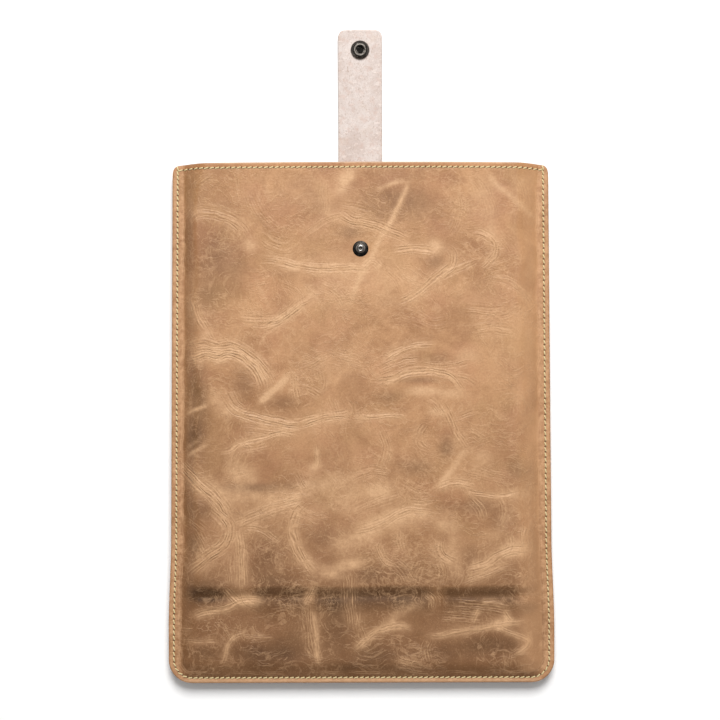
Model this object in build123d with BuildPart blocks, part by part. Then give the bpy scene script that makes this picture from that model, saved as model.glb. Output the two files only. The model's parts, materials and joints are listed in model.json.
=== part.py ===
from build123d import *
import math
import os

# Leather laptop sleeve with a snap strap, lying on its back with the mouth towards +Y and the front
# panel up. Millimetres, +Z up, origin at the centre of the bounding box's bottom face.

# ---- driving dimensions --------------------------------------------------------------------------
leather_t = 1.8            # panel thickness
strap_t = 1.8              # strap thickness
body_length = 378.6        # bottom edge to mouth edge
half_w_mouth = 136.8       # half width at the mouth
half_w_mid = 138.6         # half width where the filled part ends
half_w_low = 140.5         # half width of the lower end
corner_r = 17.0            # bottom corners
mouth_corner_r = 3.5       # corners at the mouth
margin = 8.6               # glued seam margin on three sides
seam_z = 10.0              # plane where the two panels meet
top_z = 21.1               # outer face of the front panel
slope_run = 6.0            # plan width of the sloping wall inside the margin
edge_round = 3.0           # rounding between sloping wall and field

stitch_in = 3.8            # stitch line to edge
stitch_pitch = 3.9
stitch_l = 3.2
stitch_w = 0.9
stitch_h = 0.5

strap_w = 32.0
strap_end_r = 5.0
strap_base_l = 50.0        # part of the strap sewn to the back panel
hinge_gap = 0.3            # mouth edge to first fold line
fold_gap = 0.05            # half the gap between two stretches of the strap
rest_tilt = 1.84           # degrees: the open strap rises so that its cap stands on the table
stud_from_mouth = 63.0     # stud centre to mouth edge
tip_from_snap = 14.5       # snap centre to the strap's end

stud_dome_h = 1.0          # stud flange at the foot of its nub
nub_h = 3.35
socket_h = 3.4
seat_gap = 0.2             # middle of the socket rim to the stud flange when closed
cap_h = 2.6
fold_clear = 1.0           # closed strap's flesh face above the front panel at the second fold

# ---- derived -------------------------------------------------------------------------------------
riser_l = top_z + fold_clear - strap_t                              # first fold line to second
# The closed tongue climbs from the second fold to the snap by close_tilt, and the middle of the
# socket rim comes to the stud's axis.
run = stud_from_mouth + hinge_gap
climb = stud_dome_h + seat_gap - fold_clear
close_tilt = 0.0
for _ in range(20):
    close_tilt = math.atan((climb + socket_h * math.cos(close_tilt))
                           / (run - socket_h * math.sin(close_tilt)))
fold_to_snap = (run - socket_h * math.sin(close_tilt)) / math.cos(close_tilt)
snap_at = riser_l + fold_to_snap                                    # along the strap
tip_at = snap_at + tip_from_snap
cos_tilt, sin_tilt = math.cos(math.radians(rest_tilt)), math.sin(math.radians(rest_tilt))
reach = hinge_gap + tip_at * cos_tilt + strap_t * sin_tilt          # mouth edge to strap end
y_bot = -(body_length + reach) / 2
y_mouth = y_bot + body_length
y_fold = y_mouth + hinge_gap
y_stud = y_mouth - stud_from_mouth
y_mid = y_bot + 99.5       # from here down the sides widen
y_low = y_bot + 62.0       # the full width is reached here
y_row = y_mouth - stitch_in

rise_f = top_z - (seam_z + leather_t)
rise_b = seam_z - leather_t
slope_f = math.degrees(math.atan(slope_run / rise_f))
slope_b = math.degrees(math.atan(slope_run / rise_b))
# where the sloping wall's inner face meets the seam plane
in_f = margin - slope_run * leather_t / rise_f + leather_t / math.cos(math.radians(slope_f))
in_b = margin - slope_run * leather_t / rise_b + leather_t / math.cos(math.radians(slope_b))


def half_width(y):
    """Half width on the long side line, carried on past the mouth."""
    return half_w_mid + (half_w_mouth - half_w_mid) * (y - y_mid) / (y_mouth - y_mid)


def outline(y_top, inset=0.0, top_r=0.0):
    """Plan outline of the body, inset all round."""
    right = [(half_width(y_top), y_top), (half_w_mid, y_mid), (half_w_low, y_low), (half_w_low, y_bot)]
    with BuildSketch() as sk:
        with BuildLine():
            Polyline(*right, *[(-x, y) for x, y in reversed(right)], close=True)
        make_face()
        fillet(sk.vertices().group_by(Axis.Y)[0], corner_r)
        if top_r:
            fillet(sk.vertices().group_by(Axis.Y)[-1], top_r)
        if inset:
            offset(amount=-inset, kind=Kind.INTERSECTION, mode=Mode.REPLACE)
    return sk.sketch_local


def seam_stitches(z0, height):
    """Stitches along both sides and the bottom, set a little aslant on their line."""
    wire = outline(y_mouth + 30, inset=stitch_in).wire()
    count = round(wire.length / stitch_pitch)
    spots = []
    for i in range(count):
        p = wire.position_at((i + 0.5) / count)
        t = wire.tangent_at((i + 0.5) / count)
        if p.Y < y_row - 1.0:
            spots.append(Location((p.X, p.Y, 0), (0, 0, math.degrees(math.atan2(t.Y, t.X)) + 8)))
    with BuildPart() as made:
        with BuildSketch(Plane.XY.offset(z0)):
            with Locations(*spots):
                SlotOverall(stitch_l, stitch_w)
        extrude(amount=height)
    return made.part


def row_stitches(spots):
    """Bars along X; each spot is (x, z, tilt, into), into = -1 for a bar below its face."""
    with BuildPart() as made:
        for into in (1, -1):
            chosen = [Location((x, y_row, z), (0, tilt, 0)) for x, z, tilt, side in spots if side == into]
            if chosen:
                with Locations(*chosen):
                    Box(stitch_l, stitch_w, stitch_h,
                        align=(Align.CENTER, Align.CENTER, Align.MIN if into == 1 else Align.MAX))
    return made.part


def field_xs(limit, skip=0.0):
    n = int(limit / stitch_pitch)
    return [i * stitch_pitch for i in range(-n, n + 1)
            if abs(i * stitch_pitch) + stitch_l / 2 < limit and abs(i * stitch_pitch) - stitch_l / 2 >= skip]


def box_stitches(z0, height):
    """Stitches round the rectangle that holds the strap."""
    spots = []
    nx, ny = 6, 9
    for i in range(nx):
        x = box_w * ((i + 0.5) / nx - 0.5)
        spots += [Location((x, box_y + s * box_l / 2, 0)) for s in (-1, 1)]
    for i in range(ny):
        y = box_y + box_l * ((i + 0.5) / ny - 0.5)
        spots += [Location((s * box_w / 2, y, 0), (0, 0, 90)) for s in (-1, 1)]
    with BuildPart() as made:
        with BuildSketch(Plane.XY.offset(z0)):
            with Locations(*spots):
                SlotOverall(stitch_l, stitch_w)
        extrude(amount=height)
    return made.part


recess_w = strap_w + 2.0
recess_l = strap_base_l + 2.0
raised_w = recess_w + 2 * leather_t
raised_l = recess_l + leather_t
raised_z = strap_t + leather_t
box_w, box_l = strap_w - 7.6, 36.0
box_y = y_mouth - 8.0 - box_l / 2

# half width of the outer field and of the two sloping walls along the mouth row
w_row = half_width(y_row)
field = w_row - margin - slope_run
sweep_f = math.degrees(math.atan(rise_f / slope_run))
sweep_b = math.degrees(math.atan(rise_b / slope_run))

front_row = [(x, top_z, 0, 1) for x in field_xs(field - edge_round)]
back_row = [(x, 0.0, 0, 1) for x in field_xs(field - edge_round, recess_w / 2 + 1)]
for s in (-1, 1):
    front_row.append((s * (w_row - margin + 2.2), seam_z + leather_t, 0, 1))
    back_row.append((s * (w_row - margin + 2.2), rise_b, 0, -1))
    for k in (0.30, 0.66):
        front_row.append((s * (w_row - margin - slope_run * k), seam_z + leather_t + rise_f * k, s * sweep_f, 1))
        back_row.append((s * (w_row - margin - slope_run * k), rise_b - rise_b * k, -s * sweep_b, -1))

# ---- threads -------------------------------------------------------------------------------------
with BuildPart() as seam_thread_front:
    add(seam_stitches(seam_z + leather_t, stitch_h))
seam_thread_front.part.label = "seam_thread_front"

with BuildPart() as seam_thread_back:
    add(seam_stitches(seam_z - leather_t, -stitch_h))
seam_thread_back.part.label = "seam_thread_back"

with BuildPart() as mouth_thread_front:
    add(row_stitches(front_row))
mouth_thread_front.part.label = "mouth_thread_front"

# flush in the leather on the pocket side
with BuildPart() as mouth_thread_front_inner:
    add(row_stitches([(x, top_z - leather_t, 0, 1) for x in field_xs(field - edge_round)]))
mouth_thread_front_inner.part.label = "mouth_thread_front_inner"

# flush on the resting face, standing out on the sloping walls
with BuildPart() as mouth_thread_back:
    add(row_stitches(back_row))
mouth_thread_back.part.label = "mouth_thread_back"

with BuildPart() as mouth_thread_back_inner:
    add(row_stitches([(x, leather_t, 0, -1) for x in field_xs(field - edge_round, raised_w / 2 + 0.5)]
                     + [(x, raised_z, 0, -1) for x in field_xs(raised_w / 2 - 0.5)]))
mouth_thread_back_inner.part.label = "mouth_thread_back_inner"

with BuildPart() as strap_thread_outer:
    add(box_stitches(0.0, stitch_h))
strap_thread_outer.part.label = "strap_thread_outer"

with BuildPart() as strap_thread_inner:
    add(box_stitches(raised_z, -stitch_h))
strap_thread_inner.part.label = "strap_thread_inner"

# ---- front panel ---------------------------------------------------------------------------------
# A shallow leather tray: a flat margin on three sides, a short sloping wall and a flat field, open
# at the mouth, with the hole and the inner seat of the snap stud.
post_flange_r = 5.0
post_flange_h = 0.7
hole_r = 2.0

with BuildPart() as front_panel:
    with BuildSketch(Plane.XY.offset(seam_z)):
        add(outline(y_mouth + 30))
    extrude(amount=leather_t)
    with BuildSketch(Plane.XY.offset(seam_z + leather_t)):
        add(outline(y_mouth + 30, inset=margin))
    extrude(amount=rise_f, taper=slope_f)
    fillet(front_panel.faces().sort_by(Axis.Z)[-1].edges(), edge_round)
    with BuildSketch(Plane.XY.offset(seam_z)):
        add(outline(y_mouth + 30, inset=in_f))
    extrude(amount=rise_f, taper=slope_f, mode=Mode.SUBTRACT)
    with BuildSketch(Plane.XY.offset(seam_z)):
        add(outline(y_mouth, top_r=mouth_corner_r))
    extrude(amount=40, mode=Mode.INTERSECT)
    add(mouth_thread_front_inner.part, mode=Mode.SUBTRACT)
    with BuildSketch(Plane.XY.offset(top_z)):
        with Locations((0, y_stud)):
            Circle(hole_r)
    extrude(amount=-leather_t, mode=Mode.SUBTRACT)
    with BuildSketch(Plane.XY.offset(top_z - leather_t)):
        with Locations((0, y_stud)):
            Circle(post_flange_r + 0.1)
    extrude(amount=post_flange_h, mode=Mode.SUBTRACT)
front_panel.part.label = "front_panel"

# ---- back panel ----------------------------------------------------------------------------------
# The same tray turned over. Its field is raised locally near the mouth, where the strap is sewn on
# outside, so that strap and panel rest on one plane.
with BuildPart() as back_panel:
    with BuildSketch(Plane.XY.offset(seam_z)):
        add(outline(y_mouth + 30))
    extrude(amount=-leather_t)
    with BuildSketch(Plane.XY.offset(seam_z - leather_t)):
        add(outline(y_mouth + 30, inset=margin))
    extrude(amount=-rise_b, taper=slope_b)
    fillet(back_panel.faces().sort_by(Axis.Z)[0].edges(), edge_round)
    with BuildSketch(Plane.XY.offset(seam_z)):
        add(outline(y_mouth + 30, inset=in_b))
    extrude(amount=-rise_b, taper=slope_b, mode=Mode.SUBTRACT)
    with BuildSketch(Plane.XY):
        add(outline(y_mouth, top_r=mouth_corner_r))
    extrude(amount=seam_z, mode=Mode.INTERSECT)
    with BuildSketch(Plane.XY):
        with Locations((0, y_mouth - raised_l / 2)):
            Rectangle(raised_w, raised_l)
    extrude(amount=raised_z)
    with BuildSketch(Plane.XY):
        with Locations((0, y_mouth - recess_l / 2)):
            Rectangle(recess_w, recess_l)
    extrude(amount=strap_t, mode=Mode.SUBTRACT)
    add(mouth_thread_back.part, mode=Mode.SUBTRACT)
    add(mouth_thread_back_inner.part, mode=Mode.SUBTRACT)
    add(strap_thread_inner.part, mode=Mode.SUBTRACT)
back_panel.part.label = "back_panel"

# ---- strap ---------------------------------------------------------------------------------------
# One leather strip in three stretches: the sewn base, the riser that stands across the mouth when
# the strap is closed, and the tongue that carries the upper half of the snap.
with BuildPart() as strap_base:
    with BuildSketch(Plane.XY) as base_plan:
        with Locations((0, (y_mouth - strap_base_l + y_fold - fold_gap) / 2)):
            Rectangle(strap_w, y_fold - fold_gap - (y_mouth - strap_base_l))
        fillet(base_plan.vertices().group_by(Axis.Y)[0], 3.0)
    extrude(amount=strap_t)
    add(strap_thread_outer.part, mode=Mode.SUBTRACT)
strap_base.part.label = "strap_base"

# The rest of the strap is drawn in a tilted plane: local y runs along the strap from the first fold
# line, local z stands on its flesh face.
tilt = Plane(origin=(0, y_fold, strap_t), x_dir=(1, 0, 0), z_dir=(0, -sin_tilt, cos_tilt))

with BuildPart() as strap_riser:
    with BuildSketch(tilt):
        with Locations((0, riser_l / 2)):
            Rectangle(strap_w, riser_l - 2 * fold_gap)
    extrude(amount=-strap_t)
strap_riser.part.label = "strap_riser"

with BuildPart() as strap_tongue:
    with BuildSketch(tilt) as tongue_plan:
        with Locations((0, (riser_l + fold_gap + tip_at) / 2)):
            Rectangle(strap_w, tip_at - riser_l - fold_gap)
        fillet(tongue_plan.vertices().group_by(Axis.Y)[-1], strap_end_r)
        with Locations((0, snap_at)):
            Circle(1.6, mode=Mode.SUBTRACT)
    extrude(amount=-strap_t)
strap_tongue.part.label = "strap_tongue"

# ---- snap, upper half, on the strap --------------------------------------------------------------
# Turned pieces; local x is the radius and local y stands on the flesh face.
snap_point = Vector(0, y_fold + snap_at * cos_tilt, strap_t + snap_at * sin_tilt)
snap_up = Plane(origin=snap_point, x_dir=(1, 0, 0), z_dir=(0, -cos_tilt, -sin_tilt))
axis_up = Axis(snap_point, (0, -sin_tilt, cos_tilt))
socket_r = 6.9
bore_r = 3.15

with BuildPart() as snap_socket:
    with BuildSketch(snap_up):
        with BuildLine():
            Polyline((1.6, 0.0), (socket_r - 0.5, 0.0), (socket_r, 0.5), (socket_r - 0.35, 1.5),
                     (socket_r - 1.5, 2.9), (socket_r - 2.4, socket_h), (bore_r + 0.35, socket_h),
                     (bore_r, socket_h - 0.3), (bore_r, 2.85), (4.2, 2.75), (4.2, 1.6), (3.4, 1.2),
                     (3.2, 0.5), (1.6, 0.5), close=True)
        make_face()
    revolve(axis=axis_up)
snap_socket.part.label = "snap_socket"

# split spring ring in the socket's groove
with BuildPart() as snap_spring:
    with BuildSketch(snap_up):
        with Locations((3.32, 2.3)):
            Circle(0.4)
    revolve(axis=axis_up, revolution_arc=320)
snap_spring.part.label = "snap_spring"

# domed cap on the grain side, its shank riveted inside the socket
cap_r = 7.4
dome_h = cap_h - 0.45
dome_r = (cap_r ** 2 + dome_h ** 2) / (2 * dome_h)      # spherical dome, centred on the axis
dome_mid = -strap_t - cap_h + dome_r - math.sqrt(dome_r ** 2 - (cap_r / 2) ** 2)
with BuildPart() as snap_cap:
    with BuildSketch(snap_up):
        with BuildLine():
            Polyline((0, 0.95), (1.9, 0.95), (2.35, 0.75), (2.35, 0.5), (1.5, 0.5), (1.5, -strap_t),
                     (cap_r - 0.5, -strap_t), (cap_r, -strap_t - 0.45))
            ThreePointArc((cap_r, -strap_t - 0.45), (cap_r / 2, dome_mid), (0, -strap_t - cap_h))
            Line((0, -strap_t - cap_h), (0, 0.95))
        make_face()
    revolve(axis=axis_up)
snap_cap.part.label = "snap_cap"

# ---- snap, lower half, on the front panel --------------------------------------------------------
snap_low = Plane(origin=(0, y_stud, top_z), x_dir=(1, 0, 0), z_dir=(0, -1, 0))
axis_low = Axis((0, y_stud, 0), (0, 0, 1))
stud_r = 5.7
nub_r = 2.75
shank_r = 1.9

with BuildPart() as snap_stud:
    with BuildSketch(snap_low):
        with BuildLine():
            Polyline((shank_r, 0.0), (stud_r - 0.15, 0.0), (stud_r, 0.12), (stud_r, 0.3))
            ThreePointArc((stud_r, 0.3), (4.5, 0.74), (2.75, stud_dome_h))
            Polyline((2.75, stud_dome_h), (2.45, 1.25), (2.45, 2.1), (nub_r, 2.6), (nub_r, 2.75))
            ThreePointArc((nub_r, 2.75), (2.4, 3.15), (1.6, nub_h))
            Polyline((1.6, nub_h), (1.3, nub_h - 0.05), (1.3, nub_h - 0.35), (shank_r, nub_h - 0.6),
                     (shank_r, 0.0))
        make_face()
    revolve(axis=axis_low)
snap_stud.part.label = "snap_stud"

# rivet post: flat head let into the panel's inner face, shank closed inside the stud
with BuildPart() as snap_post:
    with BuildSketch(snap_low):
        with BuildLine():
            Polyline((0, -leather_t), (post_flange_r - 0.3, -leather_t),
                     (post_flange_r, -leather_t + 0.3), (post_flange_r, -leather_t + post_flange_h),
                     (shank_r, -leather_t + post_flange_h), (shank_r, nub_h - 0.65),
                     (1.25, nub_h - 0.4), (1.25, nub_h - 0.1), (0, nub_h - 0.22), close=True)
        make_face()
    revolve(axis=axis_low)
snap_post.part.label = "snap_post"

# ---- export --------------------------------------------------------------------------------------
os.makedirs("parts", exist_ok=True)
for piece in (front_panel, back_panel, seam_thread_front, seam_thread_back, mouth_thread_front,
              mouth_thread_front_inner, mouth_thread_back, mouth_thread_back_inner,
              strap_thread_outer, strap_thread_inner, strap_base, strap_riser, strap_tongue,
              snap_socket, snap_spring, snap_cap, snap_stud, snap_post):
    export_step(piece.part, f"parts/{piece.part.label}.step")
    box = piece.part.bounding_box()
    print(piece.part.label, "solids", len(piece.part.solids()), "volume", round(piece.part.volume, 2),
          "box", [round(v, 2) for v in (*box.min, *box.max)])

print("y_bot", y_bot, "y_mouth", y_mouth, "y_fold", y_fold, "y_stud", y_stud)
print("riser_l", riser_l, "fold_to_snap", fold_to_snap, "reach", reach,
      "close_tilt", math.degrees(close_tilt))
print("second fold", (0, y_fold + riser_l * cos_tilt, strap_t + riser_l * sin_tilt), "snap", snap_point)
print("inset front", in_f, "inset back", in_b, "slope", slope_f, slope_b)
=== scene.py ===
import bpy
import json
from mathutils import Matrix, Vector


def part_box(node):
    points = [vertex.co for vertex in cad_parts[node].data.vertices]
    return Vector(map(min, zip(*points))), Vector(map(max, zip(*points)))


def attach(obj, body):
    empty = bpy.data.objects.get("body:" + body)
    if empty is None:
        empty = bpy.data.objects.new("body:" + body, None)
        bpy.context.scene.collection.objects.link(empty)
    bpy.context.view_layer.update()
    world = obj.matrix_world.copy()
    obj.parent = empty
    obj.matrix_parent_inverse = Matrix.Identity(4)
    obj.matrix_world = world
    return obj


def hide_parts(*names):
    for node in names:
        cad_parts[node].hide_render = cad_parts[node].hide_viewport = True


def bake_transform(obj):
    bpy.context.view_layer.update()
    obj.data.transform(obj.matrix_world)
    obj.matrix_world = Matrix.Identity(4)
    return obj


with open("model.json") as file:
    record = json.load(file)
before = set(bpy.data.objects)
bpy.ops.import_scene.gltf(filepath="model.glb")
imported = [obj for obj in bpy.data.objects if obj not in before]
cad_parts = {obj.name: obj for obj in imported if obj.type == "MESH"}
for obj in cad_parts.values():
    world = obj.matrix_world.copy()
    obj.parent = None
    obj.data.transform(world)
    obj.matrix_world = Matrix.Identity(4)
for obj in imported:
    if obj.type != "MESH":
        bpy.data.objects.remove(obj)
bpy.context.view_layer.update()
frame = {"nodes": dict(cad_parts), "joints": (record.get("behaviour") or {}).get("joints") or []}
import json
import math

import bpy
import numpy as np
from mathutils import Vector

# ---------------------------------------------------------------------------------------------
# Sizes, in millimetres, in the CAD frame. Those the frame gives are read from it.
# ---------------------------------------------------------------------------------------------
MM = 0.001
flo, fhi = (np.array(c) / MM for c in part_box("front_panel"))
Y_BOT, Y_MOUTH = flo[1], fhi[1]
SEAM_Z, TOP_Z = flo[2], fhi[2]
HALF_LOW = fhi[0]
HALF_MID, HALF_MOUTH = HALF_LOW - 1.9, HALF_LOW - 3.7
CORNER = 17.0
MARGIN = 8.6
PANEL_T = 1.8
STITCH_IN = 3.8
PITCH = 3.9
slo, shi = (np.array(c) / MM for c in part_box("snap_stud"))
STUD = ((slo[0] + shi[0]) / 2, (slo[1] + shi[1]) / 2)
blo, bhi = (np.array(c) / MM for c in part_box("strap_base"))
tlo, thi = (np.array(c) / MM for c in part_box("strap_tongue"))
STRAP_W = bhi[0] - blo[0]
STRAP_T = bhi[2] - blo[2]
JOINTS = {j["name"]: j for j in frame["joints"]}
FOLD1 = np.array(JOINTS["riser_fold"]["pos_m"]) / MM
FOLD2 = np.array(JOINTS["tongue_fold"]["pos_m"]) / MM
clo, chi = (np.array(c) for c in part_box("snap_cap"))
SNAP_AXIS = ((clo[0] + chi[0]) / 2, (clo[1] + chi[1]) / 2, clo[2] + 0.0012)

# Plan units, in which the creases below are placed: 0.7228 mm to the unit, with the sleeve's middle at
# 359.7 across and its mouth edge at 161.5 down.
UNIT = 0.7228


def plan(px, py):
    return (px - 359.7) * UNIT, Y_MOUTH - (py - 161.5) * UNIT


def smooth(a, b, x):
    t = np.clip((x - a) / (b - a), 0, 1)
    return t * t * (3 - 2 * t)


# ---------------------------------------------------------------------------------------------
# Outline of the body
# ---------------------------------------------------------------------------------------------
def side_line(y):
    """Half width of the body without its bottom corners."""
    upper = HALF_MID + (HALF_MOUTH - HALF_MID) * (y - (Y_BOT + 99.5)) / (Y_MOUTH - Y_BOT - 99.5)
    k = smooth(Y_BOT + 38, Y_BOT + 104, y)
    return HALF_LOW * (1 - k) + np.minimum(upper, HALF_LOW) * k


def half_width(y):
    w = side_line(y)
    t = np.clip(CORNER - (y - Y_BOT), 0, CORNER)
    return w - CORNER + np.sqrt(np.maximum(CORNER ** 2 - t ** 2, 0))


def edge_distance(x, y):
    """Distance in from the sides and the bottom edge, and run along the seam line."""
    w = side_line(y)
    px, py = w - np.abs(x), y - Y_BOT
    corner = (px < CORNER) & (py < CORNER)
    cx, cy = CORNER - px, CORNER - py
    rc = np.sqrt(cx ** 2 + cy ** 2)
    d = np.where(corner, CORNER - rc, np.minimum(px, py))
    r_in = CORNER - STITCH_IN
    straight = Y_MOUTH - (Y_BOT + CORNER)
    arc = r_in * math.pi / 2
    flat = HALF_LOW - CORNER
    s_corner = straight + r_in * np.arctan2(np.maximum(cy, 0), np.maximum(cx, 1e-6))
    on_side = (px < py) & ~corner
    s_half = np.where(corner, s_corner, np.where(on_side, Y_MOUTH - y, straight + arc + (flat - np.abs(x))))
    total = 2 * (straight + arc + flat)
    s = np.where(x >= 0, s_half, total - s_half)
    return d, s, total


SEAM_TOTAL = float(edge_distance(np.array([0.0]), np.array([0.0]))[2])
SEAM_N = round(SEAM_TOTAL / PITCH)
SEAM_PITCH = SEAM_TOTAL / SEAM_N
ROW_N = 2 * round((HALF_MOUTH - STITCH_IN) / PITCH)
ROW_PITCH = 2 * (HALF_MOUTH - STITCH_IN) / ROW_N


def seam_point(s, inset=STITCH_IN):
    """Point and direction on the seam line at run s, clockwise from the right end of the mouth."""
    straight = Y_MOUTH - (Y_BOT + CORNER)
    r_in = CORNER - inset
    arc = (CORNER - STITCH_IN) * math.pi / 2
    flat = HALF_LOW - CORNER
    half = straight + arc + flat
    mirrored = s > half
    h = SEAM_TOTAL - s if mirrored else s
    if h <= straight:
        y = Y_MOUTH - h
        x, tx, ty = float(side_line(np.array([y]))[0]) - inset, 0.0, -1.0
    elif h <= straight + arc:
        a = (h - straight) / (CORNER - STITCH_IN)
        x, y = HALF_LOW - CORNER + r_in * math.cos(a), Y_BOT + CORNER - r_in * math.sin(a)
        tx, ty = -math.sin(a), -math.cos(a)
    else:
        x, y, tx, ty = flat - (h - straight - arc), Y_BOT + inset, -1.0, 0.0
    if mirrored:
        x, ty = -x, -ty
    return x, y, tx, ty


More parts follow.
